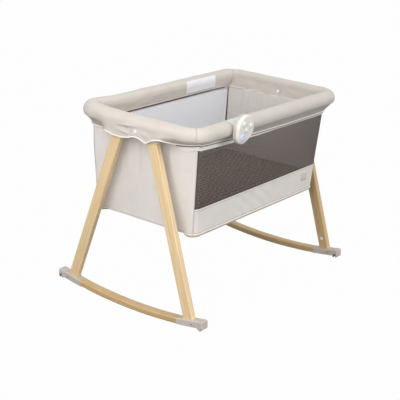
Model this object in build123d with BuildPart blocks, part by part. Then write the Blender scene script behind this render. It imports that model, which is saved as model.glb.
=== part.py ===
from build123d import *
import os
from math import atan, cos, degrees, pi, radians, sin, sqrt

# Rocking bassinet in millimetres. X runs along the bassinet from the near end (-X) to the
# far end (+X), the front side is -Y, +Z is up, and the origin is on the floor under the middle.

# End frames: two curved rockers and four splayed legs
frame_reach = 13.0
rocker_width = 34.0
rocker_depth = 21.0
rocker_radius = 1800.0
rest_length = 40.0
wood_end_low_y = 213.0
wood_end_high_y = 216.0
wood_rounding = 5.0
tenon_inset = 5.0
tenon_end_y = 252.0
wood_gap = 0.25

leg_thick = 22.0
leg_wide = 38.0
leg_rounding = 4.0
leg_foot_y = 255.0
leg_foot_z = 46.5
leg_head_y = 74.0
leg_head_z = 600.0
leg_top_z = 630.0

# Rocker end caps with a tongue for each leg, and the stop feet hinged to them
cap_rise_share = 0.17
cap_rounding = 4.0
seat_depth = 2.0
tongue_thick = 10.0
tongue_wide = 24.0
tongue_height = 50.0
tongue_root = 2.0
pin_y = 277.0
pin_z = 30.0
pin_radius = 2.5
pin_recess = 1.5
pin_recess_radius = 3.4
pin_gap = 0.05
nose_radius = 9.5
knuckle_radius = 7.0
knuckle_width = 18.0
hinge_gap = 0.4
foot_head_y = 319.0
foot_heel_y = 322.0
foot_heel_z = 25.0
hook_tip_y = 311.5
hook_tip_z = 15.5
hook_inner_y = 302.0
hook_inner_z = 20.0
hook_root_y = 301.0
foot_rounding = 3.0
foot_pocket_y = 310.0
foot_pocket_long = 10.0
foot_pocket_wall = 6.0
foot_pocket_top_z = 34.0

# Screws
screw_radius = 2.5
screw_gap = 0.1
foot_screw_z = 79.0
foot_screw_head_radius = 6.0
foot_screw_head_thick = 2.0
foot_screw_length = 15.0
top_screw_z = 614.0
top_screw_head_radius = 5.0
top_screw_head_thick = 3.0
top_screw_length = 32.0
hub_screw_y = 26.0
hub_screw_z = 615.0
hub_screw_length = 34.0

# Rail: a loop of steel tube in foam, its middle line at these half sizes
rail_half_x = 421.0
rail_half_y = 235.0
rail_z = 646.0
rail_bend = 57.0
tube_radius = 12.5
tube_wall = 1.5
rail_joint_inset = 121.0
sleeve_length = 90.0
sleeve_gap = 0.1
sleeve_wall = 1.3
foam_gap = 0.3
foam_radius = 24.0

# Hub at the middle of each end: two moulded halves round the tube and the leg tops
hub_inner_reach = 16.5
hub_outer_reach = 30.5
hub_bottom_z = 604.0
hub_top_z = 664.0
hub_foot_half = 103.0
hub_top_half = 95.0
hub_corner = 8.0
hub_end_rounding = 16.0
hub_brow = 20.0
hub_pocket_half = 14.0
hub_pocket_low_z = 609.0
hub_pocket_high_z = 628.0
hub_pocket_deep = 11.0

# Basket wall: how far inside the rail's middle line its outer face is at the top, and how much
# more at the bottom
wall_low_z = 300.0
wall_top_z = 612.0
wall_inset_x = 33.0
wall_inset_y = 16.0
wall_taper_x = 12.0
wall_taper_y = 8.0
wall_corner = 20.0
wall_thick = 2.0
band_top_z = 388.0
mesh_thick = 1.2
pleat_count = 4
pleat_pitch = 58.0
pleat_low_half = 3.0
pleat_high_half = 9.0
pleat_proud = 3.0
pleat_low_z = 400.0

# Rail cover: roll, outer skirt down to the hem, inner flap, and an apron over each hub
cover_thick = 1.7
roll_radius = 26.0
hem_z = 593.0
seam_gap = 0.4
skirt_drop = 14.0
skirt_reach_x = 23.0
skirt_reach_y = 20.5
skirt_corner = 79.0
flap_corner = 31.0
apron_gap = 0.8
apron_drop = 2.0
piping_radius = 1.7
snap_y = -12.0
snap_z = 629.0
snap_radius = 6.2
snap_thick = 1.8
snap_rounding = 1.0

# Base of the basket
base_z = 290.0
base_inset = 13.0
base_thick = 2.0
base_tube_radius = 9.5
base_tube_wall = 1.2
base_tube_bend = 45.0
base_tube_inset = 22.0
board_thick = 6.0
board_inset = 3.0
board_corner = 18.0

# Mattress: a foam core under a crowned quilted cover
mattress_gap = 8.0
mattress_corner = 30.0
mattress_height = 51.5
quilt_thick = 8.0
quilt_drawn_in = 4.0
crown_edge_share = 0.62
crown_shoulder_share = 0.88
crown_inset = 16.0
crown_flat_inset = 70.0
core_gap = 0.5
channel_pitch = 58.0
channel_wide = 2.5
channel_deep = 1.2

# Soothing unit hooked over the front rail
unit_x = -224.0
unit_z = 654.5
unit_head_radius = 44.5
unit_chin_x = -239.0
unit_chin_z = 634.0
unit_chin_radius = 31.0
unit_gap = 0.4
hook_thick = 3.2
hook_wide = 56.0
hook_leg = 24.0
unit_back_deep = 13.5
unit_front_deep = 11.0
unit_wall = 2.2
unit_front_rounding = 8.0
unit_back_rounding = 4.0
key_gap = 0.3
key_travel = 1.5
key_proud = 2.5
key_rounding = 1.6
key_flange = 0.8
key_stem_radius = 2.0
main_key_x = -244.0
main_key_z = 628.0
main_key_radius = 12.5
small_key_places = ((-240.0, 672.0), (-203.0, 660.0), (-226.0, 649.0))
small_key_radii = (8.5, 8.5, 7.0)
plate_thick = 1.6
plate_inset = 2.0
speaker_radius = 11.0
speaker_deep = 5.3
speaker_x = -213.0
speaker_z = 634.0
cell_radius = 5.2
cell_length = 44.5
cell_pitch = 11.5
cell_count = 3
door_half_x = 25.0
door_half_z = 19.5
door_thick = 1.6
door_gap = 0.3
unit_screw_radius = 1.6
unit_screw_x = 18.0
unit_screw_z = 631.0
unit_screw_head_radius = 3.0
unit_screw_head_thick = 1.2
unit_screw_length = 8.0

# Far enough to cut right through any piece
overrun = 30.0

os.makedirs("parts", exist_ok=True)

arc_z = sqrt(rocker_radius**2 - (rest_length / 2) ** 2)
leg_lean = (leg_foot_y - leg_head_y) / (leg_head_z - leg_foot_z)
leg_angle = degrees(atan(leg_lean))
cap_front_y = pin_y + nose_radius
frame_x = rail_half_x + frame_reach
rocker_outer_x = frame_x + rocker_width / 2
rail_joint_x = rail_half_x - rail_joint_inset
hub_inner_x = rail_half_x - hub_inner_reach
hub_outer_x = rail_half_x + hub_outer_reach
wall_high_half_x = rail_half_x - wall_inset_x
wall_high_half_y = rail_half_y - wall_inset_y
wall_low_half_x = wall_high_half_x - wall_taper_x
wall_low_half_y = wall_high_half_y - wall_taper_y
mattress_half_x = wall_low_half_x - mattress_gap
mattress_half_y = wall_low_half_y - mattress_gap
rail_seam = rail_half_x - rail_half_y
wall_seam = wall_high_half_x - wall_high_half_y
base_tube_z = base_z + base_thick + foam_gap + base_tube_radius
board_z = base_tube_z + base_tube_radius + foam_gap
mattress_z = board_z + board_thick + foam_gap
unit_back_y = -rail_half_y - roll_radius - unit_gap - hook_thick
unit_split_y = unit_back_y - unit_back_deep
unit_front_y = unit_split_y - unit_front_deep


def save(builder, name):
    """Label a finished piece and write it."""
    builder.part.label = name
    export_step(builder.part, f"parts/{name}.step")


def move_to_corner(end, side):
    """Carry a piece that is drawn at the far back corner to another corner."""
    if end < 0:
        mirror(about=Plane.YZ, mode=Mode.REPLACE)
    if side < 0:
        mirror(about=Plane.XZ, mode=Mode.REPLACE)


def copy_to_four_corners():
    """Repeat a small piece at all four corners."""
    mirror(about=Plane.XZ)
    mirror(about=Plane.YZ)


def on_arc(radius, y):
    """Point at y on the circle of this radius round the rockers' common centre."""
    return (y, arc_z - sqrt(radius**2 - y**2))


def cap_top(y):
    """Height of the sloping top of a rocker cap."""
    start = on_arc(rocker_radius - rocker_depth, wood_end_high_y)
    return start[1] + cap_rise_share * (y - start[0])


def leg_line(z, across):
    """Y at height z on the line this far across from a leg's middle line."""
    return leg_foot_y - leg_lean * (z - leg_foot_z) + across / cos(radians(leg_angle))


def leg_seat(across, depth):
    """Where that line meets the cap's top surface, sunk by depth."""
    start = leg_line(cap_top(0) - depth, across)
    y = start / (1 + leg_lean * cap_rise_share)
    return (y, cap_top(y) - depth)


def wall_size(z, grow):
    """Half length, half width and corner of the wall's outer face at z, grown all round."""
    share = (z - wall_low_z) / (wall_top_z - wall_low_z)
    half_x = wall_low_half_x + (wall_high_half_x - wall_low_half_x) * share
    half_y = wall_low_half_y + (wall_high_half_y - wall_low_half_y) * share
    return (half_x + grow, half_y + grow, wall_corner + grow)


def taper(low_z, low, high_z, high, mode=Mode.ADD):
    """Solid between two rounded rectangles, each a half length, half width and corner."""
    sections = []
    for z, (half_x, half_y, corner) in ((low_z, low), (high_z, high)):
        with BuildSketch(Plane.XY.offset(z)) as section:
            RectangleRounded(2 * half_x, 2 * half_y, corner)
        sections.append(section.sketch)
    loft(sections, ruled=True, mode=mode)


def keep_quarter():
    """Keep only the part at +X and +Y."""
    split(bisect_by=Plane.YZ, keep=Keep.TOP)
    split(bisect_by=Plane.XZ, keep=Keep.BOTTOM)


def corner_seam(seam):
    """The upright plane at 45 degrees where an end piece meets a side piece."""
    return Plane(origin=(seam, 0, 0), z_dir=(1, -1, 0))


def tube_ring(half_x, half_y, bend, z, outer, inner=0):
    """Quarter of a loop of round section, from the middle of a side to the middle of an end."""
    with BuildLine(Plane.XY.offset(z)) as path:
        FilletPolyline((0, half_y), (half_x, half_y), (half_x, 0), radius=bend)
    with BuildSketch(Plane(origin=(0, half_y, z), z_dir=(1, 0, 0))) as section:
        Circle(outer)
        if inner > 0:
            Circle(inner, mode=Mode.SUBTRACT)
    sweep(section.sketch, path.line)


# Rockers
def make_rocker(end, name):
    half_angle = degrees(wood_end_high_y / (rocker_radius - rocker_depth)) + leg_angle
    low = on_arc(rocker_radius, wood_end_low_y)
    high = on_arc(rocker_radius - rocker_depth, wood_end_high_y)
    end_plane = Plane(
        origin=(frame_x, *low), x_dir=(1, 0, 0), z_dir=(0, high[1] - low[1], low[0] - high[0])
    )
    tenon_angle = degrees(tenon_end_y / rocker_radius)
    spin = Axis((0, 0, arc_z), (1, 0, 0))
    with BuildPart() as rocker:
        with BuildSketch(Plane.XZ) as section:
            with Locations((frame_x, arc_z - rocker_radius + rocker_depth / 2)):
                RectangleRounded(rocker_width, rocker_depth, wood_rounding)
        revolve(axis=spin, revolution_arc=half_angle)
        split(bisect_by=end_plane, keep=Keep.BOTTOM)
        with BuildSketch(Plane.XZ) as tenon_section:
            with Locations((frame_x, arc_z - rocker_radius + rocker_depth / 2)):
                Rectangle(rocker_width - 2 * tenon_inset, rocker_depth - 2 * tenon_inset)
        revolve(axis=spin, revolution_arc=tenon_angle)
        mirror(about=Plane.XZ)
        with BuildSketch(Plane.XY) as floor:
            with Locations((frame_x, 0)):
                Rectangle(rocker_width + overrun, 2 * wood_end_low_y)
        extrude(amount=-overrun, mode=Mode.SUBTRACT)
        move_to_corner(end, 1)
    save(rocker, name)


# Rocker end caps
def cap_strip(start_y, end_y):
    """Face between the rocker's underside and the cap's top."""
    with BuildLine() as strip:
        ThreePointArc(
            on_arc(rocker_radius, start_y),
            on_arc(rocker_radius, (start_y + end_y) / 2),
            on_arc(rocker_radius, end_y),
        )
        Polyline(
            on_arc(rocker_radius, end_y),
            (end_y, cap_top(end_y)),
            (start_y, cap_top(start_y)),
            on_arc(rocker_radius, start_y),
        )
    make_face(strip.edges())


def make_cap(end, side, name):
    middle = Plane.YZ.offset(frame_x)
    low = on_arc(rocker_radius, wood_end_low_y)
    high = on_arc(rocker_radius - rocker_depth, wood_end_high_y)
    end_plane = Plane(
        origin=(frame_x, *low), x_dir=(1, 0, 0), z_dir=(0, high[1] - low[1], low[0] - high[0])
    )
    with BuildPart() as cap:
        with BuildSketch(middle) as body:
            cap_strip(wood_end_low_y, pin_y)
        with BuildSketch(middle) as brow:
            cap_strip(pin_y, cap_front_y)
            with Locations((pin_y, pin_z)):
                Rectangle(overrun, overrun, align=Align.MIN, mode=Mode.INTERSECT)
        with BuildSketch(middle) as nose:
            cap_strip(pin_y - nose_radius, cap_front_y)
            with Locations((pin_y, pin_z)):
                Circle(nose_radius, mode=Mode.INTERSECT)
        extrude(amount=rocker_width / 2, both=True)
        split(bisect_by=end_plane, keep=Keep.TOP)
        long_edges = cap.edges().filter_by(Axis.X, reverse=True).group_by(Axis.Z)[-1]
        fillet(long_edges, cap_rounding)
        with BuildSketch(middle) as tenon_hole:
            with BuildLine():
                inset = tenon_inset - wood_gap
                deep = rocker_depth - tenon_inset + wood_gap
                stop_y = tenon_end_y + wood_gap
                ThreePointArc(
                    on_arc(rocker_radius - inset, 0),
                    on_arc(rocker_radius - inset, stop_y / 2),
                    on_arc(rocker_radius - inset, stop_y),
                )
                Line(on_arc(rocker_radius - inset, stop_y), on_arc(rocker_radius - deep, stop_y))
                ThreePointArc(
                    on_arc(rocker_radius - deep, stop_y),
                    on_arc(rocker_radius - deep, stop_y / 2),
                    on_arc(rocker_radius - deep, 0),
                )
                Line(on_arc(rocker_radius - deep, 0), on_arc(rocker_radius - inset, 0))
            make_face()
        extrude(amount=rocker_width / 2 - tenon_inset + wood_gap, both=True, mode=Mode.SUBTRACT)
        with BuildSketch(middle) as seat:
            reach = leg_wide / 2 + wood_gap
            high_z = leg_foot_z + overrun
            Polygon(
                leg_seat(-reach, seat_depth), leg_seat(reach, seat_depth),
                (leg_line(high_z, reach), high_z), (leg_line(high_z, -reach), high_z),
                align=None,
            )
        extrude(amount=leg_thick / 2 + wood_gap, both=True, mode=Mode.SUBTRACT)
        with BuildSketch(middle) as tongue:
            reach = tongue_wide / 2
            top_z = leg_foot_z + tongue_height * cos(radians(leg_angle))
            inner = leg_seat(-reach, seat_depth + tongue_root)
            outer = leg_seat(reach, seat_depth + tongue_root)
            Polygon(
                inner, outer, (leg_line(top_z, reach), top_z), (leg_line(top_z, -reach), top_z),
                align=None,
            )
        extrude(amount=tongue_thick / 2, both=True)
        with BuildSketch(middle) as slot:
            with Locations((pin_y - knuckle_radius - hinge_gap, pin_z + knuckle_radius + hinge_gap)):
                Rectangle(2 * overrun, 2 * overrun, align=(Align.MIN, Align.MAX))
        extrude(amount=knuckle_width / 2 + hinge_gap, both=True, mode=Mode.SUBTRACT)
        with BuildSketch(middle) as pin_hole:
            with Locations((pin_y, pin_z)):
                Circle(pin_radius + pin_gap)
        extrude(amount=rocker_width, both=True, mode=Mode.SUBTRACT)
        for face_x, inward in ((rocker_outer_x, -1), (frame_x - rocker_width / 2, 1)):
            with BuildSketch(Plane.YZ.offset(face_x)) as recess:
                with Locations((pin_y, pin_z)):
                    Circle(pin_recess_radius)
            extrude(amount=inward * pin_recess, mode=Mode.SUBTRACT)
        with BuildSketch(Plane.YZ.offset(frame_x - tongue_thick / 2)) as screw_hole:
            with Locations((leg_line(foot_screw_z, 0), foot_screw_z)):
                Circle(screw_radius + screw_gap)
        extrude(amount=tongue_thick, mode=Mode.SUBTRACT)
        move_to_corner(end, side)
    save(cap, name)


# Stop feet, which swing down to the floor and hold the rockers still. One moulding serves both
# ends of a rocker, so its open pocket faces outwards at the back and inwards at the front.
def make_stop_foot(end, side, name):
    middle = Plane.YZ.offset(frame_x)
    with BuildPart() as foot:
        with BuildSketch(middle) as outline:
            with BuildLine():
                ThreePointArc(
                    on_arc(rocker_radius, pin_y),
                    on_arc(rocker_radius, (pin_y + hook_root_y) / 2),
                    on_arc(rocker_radius, hook_root_y),
                )
                Polyline(
                    on_arc(rocker_radius, hook_root_y),
                    (hook_inner_y, hook_inner_z),
                    (hook_tip_y, hook_tip_z),
                    (foot_heel_y, foot_heel_z),
                    (foot_head_y, cap_top(foot_head_y)),
                    (pin_y, cap_top(pin_y)),
                    on_arc(rocker_radius, pin_y),
                )
            make_face()
            fillet(outline.vertices().sort_by(Axis.X)[-2:], foot_rounding)
            fillet(outline.vertices().sort_by(Axis.Y)[0], foot_rounding)
            with Locations((cap_front_y + hinge_gap, pin_z)):
                Rectangle(overrun, overrun, align=(Align.MAX, Align.MIN), mode=Mode.SUBTRACT)
            with Locations((pin_y, pin_z)):
                Circle(nose_radius + hinge_gap, mode=Mode.SUBTRACT)
        extrude(amount=rocker_width / 2, both=True)
        top_edges = foot.edges().filter_by(Axis.X, reverse=True).group_by(Axis.Z)[-1]
        fillet(top_edges, cap_rounding)
        with BuildSketch(middle) as knuckle:
            with Locations((pin_y, pin_z)):
                Circle(knuckle_radius)
                Rectangle(
                    nose_radius + foot_rounding, 2 * knuckle_radius - 2 * hinge_gap,
                    align=(Align.MIN, Align.CENTER),
                )
        extrude(amount=knuckle_width / 2, both=True)
        with BuildSketch(middle) as pin_hole:
            with Locations((pin_y, pin_z)):
                Circle(pin_radius + pin_gap)
        extrude(amount=rocker_width, both=True, mode=Mode.SUBTRACT)
        with BuildSketch(Plane.XY.offset(foot_pocket_top_z)) as pocket:
            with Locations((frame_x + side * foot_pocket_wall, foot_pocket_y)):
                Rectangle(rocker_width, foot_pocket_long)
        extrude(amount=-foot_pocket_top_z, mode=Mode.SUBTRACT)
        move_to_corner(end, side)
    save(foot, name)


def make_pins():
    with BuildPart() as pins:
        with BuildSketch(Plane.YZ.offset(frame_x)) as section:
            with Locations((pin_y, pin_z)):
                Circle(pin_radius)
        extrude(amount=rocker_width / 2 - pin_recess, both=True)
        copy_to_four_corners()
    save(pins, "stop_foot_pins")


# Legs
def make_leg(end, side, name):
    middle = Plane.YZ.offset(frame_x)
    with BuildPart() as leg:
        with BuildSketch(middle) as outline:
            reach = leg_wide / 2
            Polygon(
                leg_seat(-reach, seat_depth), leg_seat(reach, seat_depth),
                (leg_line(leg_top_z, reach), leg_top_z), (leg_line(leg_top_z, -reach), leg_top_z),
                align=None,
            )
        extrude(amount=leg_thick / 2, both=True)
        long_edges = leg.edges().sort_by(SortBy.LENGTH)[-4:]
        fillet(long_edges, leg_rounding)
        with BuildSketch(middle) as mortise:
            reach = tongue_wide / 2 + wood_gap
            top_z = leg_foot_z + tongue_height * cos(radians(leg_angle)) + wood_gap
            low_z = leg_foot_z - overrun
            Polygon(
                (leg_line(low_z, -reach), low_z), (leg_line(low_z, reach), low_z),
                (leg_line(top_z, reach), top_z), (leg_line(top_z, -reach), top_z),
                align=None,
            )
        extrude(amount=tongue_thick / 2 + wood_gap, both=True, mode=Mode.SUBTRACT)
        with BuildSketch(Plane.YZ.offset(frame_x - leg_thick / 2)) as screw_hole:
            with Locations((leg_line(foot_screw_z, 0), foot_screw_z)):
                Circle(screw_radius + screw_gap)
        extrude(amount=foot_screw_length + wood_gap, mode=Mode.SUBTRACT)
        with BuildSketch(Plane.YZ.offset(frame_x - leg_thick / 2)) as top_hole:
            with Locations((leg_line(top_screw_z, 0), top_screw_z)):
                Circle(screw_radius + screw_gap)
        extrude(amount=leg_thick / 2 + tongue_thick, mode=Mode.SUBTRACT)
        move_to_corner(end, side)
    save(leg, name)


def make_screws(name, face_x, place, head_radius, head_thick, length):
    """Screws driven outwards from the plane face_x, with their heads on its inner side."""
    with BuildPart() as screws:
        with BuildSketch(Plane.YZ.offset(face_x)) as head:
            with Locations(place):
                Circle(head_radius)
        extrude(amount=-head_thick)
        fillet(screws.edges().group_by(Axis.X)[0], head_thick / 2)
        with BuildSketch(Plane.YZ.offset(face_x)) as shank:
            with Locations(place):
                Circle(screw_radius)
        extrude(amount=length)
        copy_to_four_corners()
    save(screws, name)


# Hubs
def hub_block(grow, drop):
    """Whole hub, or what covers it: grown at its top, sides and ends, carried down by drop."""
    with BuildPart() as block:
        with BuildSketch(Plane.YZ.offset(hub_inner_x - grow)) as outline:
            Polygon(
                (-hub_foot_half - grow, hub_bottom_z - drop),
                (hub_foot_half + grow, hub_bottom_z - drop),
                (hub_foot_half + grow, hub_bottom_z),
                (hub_top_half + grow, hub_top_z + grow), (-hub_top_half - grow, hub_top_z + grow),
                (-hub_foot_half - grow, hub_bottom_z),
                align=None,
            )
            fillet(outline.vertices().group_by(Axis.Y)[-1], hub_corner + grow)
        extrude(amount=hub_outer_x - hub_inner_x + 2 * grow)
        top_edges = block.edges().filter_by(Axis.Y).group_by(Axis.Z)[-1]
        fillet(top_edges.sort_by(Axis.X)[-1], hub_brow + grow)
        with BuildSketch(Plane.XY.offset(hub_bottom_z - drop)) as plan:
            with BuildLine():
                FilletPolyline(
                    (hub_inner_x - grow, -hub_foot_half - grow),
                    (hub_outer_x + grow, -hub_foot_half - grow),
                    (hub_outer_x + grow, hub_foot_half + grow),
                    (hub_inner_x - grow, hub_foot_half + grow),
                    radius=hub_end_rounding + grow,
                )
                Line(
                    (hub_inner_x - grow, hub_foot_half + grow),
                    (hub_inner_x - grow, -hub_foot_half - grow),
                )
            make_face()
        extrude(amount=hub_top_z - hub_bottom_z + drop + grow, mode=Mode.INTERSECT)
    return block.part


def make_hub_half(end, outer, name):
    with BuildPart() as hub:
        add(hub_block(0, 0))
        split(bisect_by=Plane.YZ.offset(rail_half_x), keep=Keep.TOP if outer else Keep.BOTTOM)
        with BuildSketch(Plane.XZ) as groove:
            with Locations((rail_half_x, rail_z)):
                Circle(tube_radius + sleeve_gap)
        extrude(amount=hub_foot_half + overrun, both=True, mode=Mode.SUBTRACT)
        with BuildSketch(Plane.YZ.offset(rail_half_x)) as pocket:
            with Locations((0, (hub_pocket_low_z + hub_pocket_high_z) / 2)):
                Rectangle(2 * hub_pocket_half, hub_pocket_high_z - hub_pocket_low_z)
        extrude(amount=hub_pocket_deep, both=True, mode=Mode.SUBTRACT)
        if outer:
            with BuildSketch(Plane.YZ.offset(frame_x - leg_thick / 2)) as sockets:
                reach = leg_wide / 2 + wood_gap
                low_z = hub_bottom_z - overrun
                high_z = leg_top_z + wood_gap
                Polygon(
                    (leg_line(low_z, -reach), low_z), (leg_line(low_z, reach), low_z),
                    (leg_line(high_z, reach), high_z), (leg_line(high_z, -reach), high_z),
                    align=None,
                )
                mirror(about=Plane.YZ)
            extrude(amount=leg_thick + wood_gap, mode=Mode.SUBTRACT)
        else:
            with BuildSketch(Plane.YZ.offset(hub_inner_x)) as top_recesses:
                with Locations(*((s * leg_line(top_screw_z, 0), top_screw_z) for s in (-1, 1))):
                    Circle(top_screw_head_radius + foam_gap)
            extrude(amount=top_screw_head_thick + screw_gap, mode=Mode.SUBTRACT)
            with BuildSketch(Plane.YZ.offset(hub_inner_x)) as hub_recesses:
                with Locations(*((s * hub_screw_y, hub_screw_z) for s in (-1, 1))):
                    Circle(top_screw_head_radius + foam_gap)
            extrude(amount=top_screw_head_thick + screw_gap, mode=Mode.SUBTRACT)
        with BuildSketch(Plane.YZ.offset(hub_inner_x)) as top_holes:
            with Locations(*((s * leg_line(top_screw_z, 0), top_screw_z) for s in (-1, 1))):
                Circle(screw_radius + screw_gap)
        extrude(amount=frame_x - leg_thick / 2 - hub_inner_x, mode=Mode.SUBTRACT)
        with BuildSketch(Plane.YZ.offset(hub_inner_x)) as hub_holes:
            with Locations(*((s * hub_screw_y, hub_screw_z) for s in (-1, 1))):
                Circle(screw_radius + screw_gap)
        extrude(amount=hub_screw_length + top_screw_head_thick + wood_gap, mode=Mode.SUBTRACT)
        move_to_corner(end, 1)
    save(hub, name)


# Rail tubes, their inner sleeves and their foam
def make_end_tube(end, name):
    with BuildPart() as tube:
        tube_ring(rail_half_x, rail_half_y, rail_bend, rail_z, tube_radius, tube_radius - tube_wall)
        split(bisect_by=Plane.YZ.offset(rail_joint_x), keep=Keep.TOP)
        mirror(about=Plane.XZ)
        move_to_corner(end, 1)
    save(tube, name)


def make_side_tube(side, name):
    with BuildPart() as tube:
        with BuildSketch(Plane.YZ) as section:
            with Locations((rail_half_y, rail_z)):
                Circle(tube_radius)
                Circle(tube_radius - tube_wall, mode=Mode.SUBTRACT)
        extrude(amount=rail_joint_x, both=True)
        move_to_corner(1, side)
    save(tube, name)


def make_sleeves():
    outer = tube_radius - tube_wall - sleeve_gap
    with BuildPart() as sleeves:
        with BuildSketch(Plane.YZ.offset(rail_joint_x)) as section:
            with Locations((rail_half_y, rail_z)):
                Circle(outer)
                Circle(outer - sleeve_wall, mode=Mode.SUBTRACT)
        extrude(amount=sleeve_length / 2, both=True)
        copy_to_four_corners()
    save(sleeves, "rail_joint_sleeves")


def make_foam(side, name):
    hub_side = hub_foot_half + apron_gap + cover_thick + foam_gap
    with BuildPart() as foam:
        tube_ring(rail_half_x, rail_half_y, rail_bend, rail_z, foam_radius, tube_radius + foam_gap)
        split(bisect_by=Plane.XZ.offset(-hub_side), keep=Keep.BOTTOM)
        mirror(about=Plane.YZ)
        move_to_corner(1, side)
    save(foam, name)


# Rail cover
def cover_core():
    """Quarter of the space inside the roll."""
    with BuildPart() as core:
        tube_ring(rail_half_x, rail_half_y, rail_bend, rail_z, roll_radius - cover_thick)
    return core.part


def cover_quarter():
    """Quarter of the cover: the roll, the outer skirt and the inner flap."""
    hem = wall_size(hem_z, seam_gap + cover_thick)
    hem_inside = wall_size(hem_z, seam_gap)
    top_z = rail_z - skirt_drop
    top = (rail_half_x + skirt_reach_x, rail_half_y + skirt_reach_y, skirt_corner)
    top_inside = tuple(value - cover_thick for value in top)
    flap_low = wall_size(wall_top_z, -wall_thick - seam_gap)
    flap_low_inside = wall_size(wall_top_z, -wall_thick - seam_gap - cover_thick)
    flap_top = (
        rail_half_x - roll_radius + cover_thick, rail_half_y - roll_radius + cover_thick,
        flap_corner,
    )
    flap_top_inside = tuple(value - cover_thick for value in flap_top)
    with BuildPart() as skirt:
        taper(hem_z, hem, top_z, top)
        taper(hem_z, hem_inside, top_z, top_inside, mode=Mode.SUBTRACT)
        keep_quarter()
    with BuildPart() as flap:
        taper(wall_top_z, flap_low, rail_z, flap_top)
        taper(wall_top_z, flap_low_inside, rail_z, flap_top_inside, mode=Mode.SUBTRACT)
        keep_quarter()
    with BuildPart() as quarter:
        tube_ring(rail_half_x, rail_half_y, rail_bend, rail_z, roll_radius)
        add(skirt.part)
        add(flap.part)
        add(cover_core(), mode=Mode.SUBTRACT)
    return quarter.part


def make_cuff(end, name, quarter):
    with BuildPart() as cuff:
        add(hub_block(apron_gap + cover_thick, apron_drop))
        add(cover_core(), mode=Mode.SUBTRACT)
        split(bisect_by=Plane.XZ, keep=Keep.BOTTOM)
        add(quarter)
        split(bisect_by=corner_seam(rail_seam), keep=Keep.TOP)
        mirror(about=Plane.XZ)
        add(hub_block(apron_gap, overrun), mode=Mode.SUBTRACT)
        move_to_corner(end, 1)
    save(cuff, name)


def make_side_cover(side, name, quarter):
    with BuildPart() as cover:
        add(quarter)
        split(bisect_by=corner_seam(rail_seam), keep=Keep.BOTTOM)
        mirror(about=Plane.YZ)
        move_to_corner(1, side)
    save(cover, name)


def make_hem_piping():
    half_x, half_y, corner = wall_size(hem_z, seam_gap + piping_radius)
    with BuildPart() as piping:
        tube_ring(half_x, half_y, corner, hem_z - foam_gap - piping_radius, piping_radius)
        mirror(about=Plane.XZ)
        mirror(about=Plane.YZ)
    save(piping, "hem_piping")


def make_snaps():
    """Moulded snap caps on the outer and the inner side of each cuff."""
    apron_x = hub_outer_x + apron_gap + cover_thick
    low = wall_size(wall_top_z, -wall_thick - seam_gap - cover_thick)[0]
    high = rail_half_x - roll_radius
    share = (snap_z - wall_top_z) / (rail_z - wall_top_z)
    flap_x = low + (high - low) * share
    inner_plane = Plane(
        origin=(flap_x, snap_y, snap_z), x_dir=(0, 1, 0), z_dir=(wall_top_z - rail_z, 0, high - low)
    )
    with BuildPart() as snaps:
        for plane in (Plane.YZ.offset(apron_x).shift_origin((apron_x, snap_y, snap_z)), inner_plane):
            with BuildSketch(plane.offset(screw_gap)) as disc:
                Circle(snap_radius)
            extrude(amount=snap_thick)
        fillet(snaps.edges().filter_by(GeomType.CIRCLE).group_by(Axis.X)[-1], snap_rounding)
        mirror(about=Plane.YZ)
    save(snaps, "snap_caps")


# Basket
def wall_part(low_z, high_z, thick):
    """Quarter of the wall between two heights."""
    with BuildPart() as wall:
        taper(low_z, wall_size(low_z, 0), high_z, wall_size(high_z, 0))
        taper(low_z, wall_size(low_z, -thick), high_z, wall_size(high_z, -thick), mode=Mode.SUBTRACT)
        keep_quarter()
    return wall.part


def make_end_panel(end, name):
    quarter = wall_part(wall_low_z, wall_top_z, wall_thick)
    with BuildPart() as panel:
        add(quarter)
        split(bisect_by=corner_seam(wall_seam), keep=Keep.TOP)
        mirror(about=Plane.XZ)
        for k in range(pleat_count):
            y = (k - (pleat_count - 1) / 2) * pleat_pitch
            for z, half, proud in (
                (pleat_low_z, pleat_low_half, 0), (hem_z, pleat_high_half, pleat_proud),
            ):
                inner_x = wall_size(z, -wall_thick)[0]
                with BuildSketch(Plane.XY.offset(z)) as section:
                    Polygon(
                        (inner_x + wall_thick / 2, y - half), (inner_x + wall_thick / 2, y + half),
                        (inner_x, y + half), (inner_x - proud - screw_gap, y),
                        (inner_x, y - half), align=None,
                    )
            loft(ruled=True)
        move_to_corner(end, 1)
    save(panel, name)


def make_side_sheet(side, name, low_z, high_z, thick):
    quarter = wall_part(low_z, high_z, thick)
    with BuildPart() as sheet:
        add(quarter)
        split(bisect_by=corner_seam(wall_seam), keep=Keep.BOTTOM)
        mirror(about=Plane.YZ)
        move_to_corner(1, side)
    save(sheet, name)


def make_base_cover():
    top = wall_size(wall_low_z, 0)
    low = wall_size(wall_low_z, -base_inset)
    low = (low[0], low[1] + base_inset / 2, wall_corner)
    with BuildPart() as cover:
        taper(base_z, low, wall_low_z, top)
        inner_low = (low[0] - base_thick, low[1] - base_thick, low[2])
        inner_top = wall_size(wall_low_z, -base_thick)
        taper(base_z + base_thick, inner_low, wall_low_z, inner_top, mode=Mode.SUBTRACT)
    save(cover, "base_cover")


def make_bottom_piping():
    half_x, half_y, corner = wall_size(wall_low_z, foam_gap + piping_radius)
    with BuildPart() as piping:
        tube_ring(half_x, half_y, corner, wall_low_z, piping_radius)
        mirror(about=Plane.XZ)
        mirror(about=Plane.YZ)
    save(piping, "bottom_piping")


def make_base_frame():
    half_x, half_y = wall_size(wall_low_z, -base_tube_inset)[:2]
    with BuildPart() as frame:
        tube_ring(
            half_x, half_y, base_tube_bend, base_tube_z,
            base_tube_radius, base_tube_radius - base_tube_wall,
        )
        mirror(about=Plane.XZ)
        mirror(about=Plane.YZ)
    save(frame, "base_frame")


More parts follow.
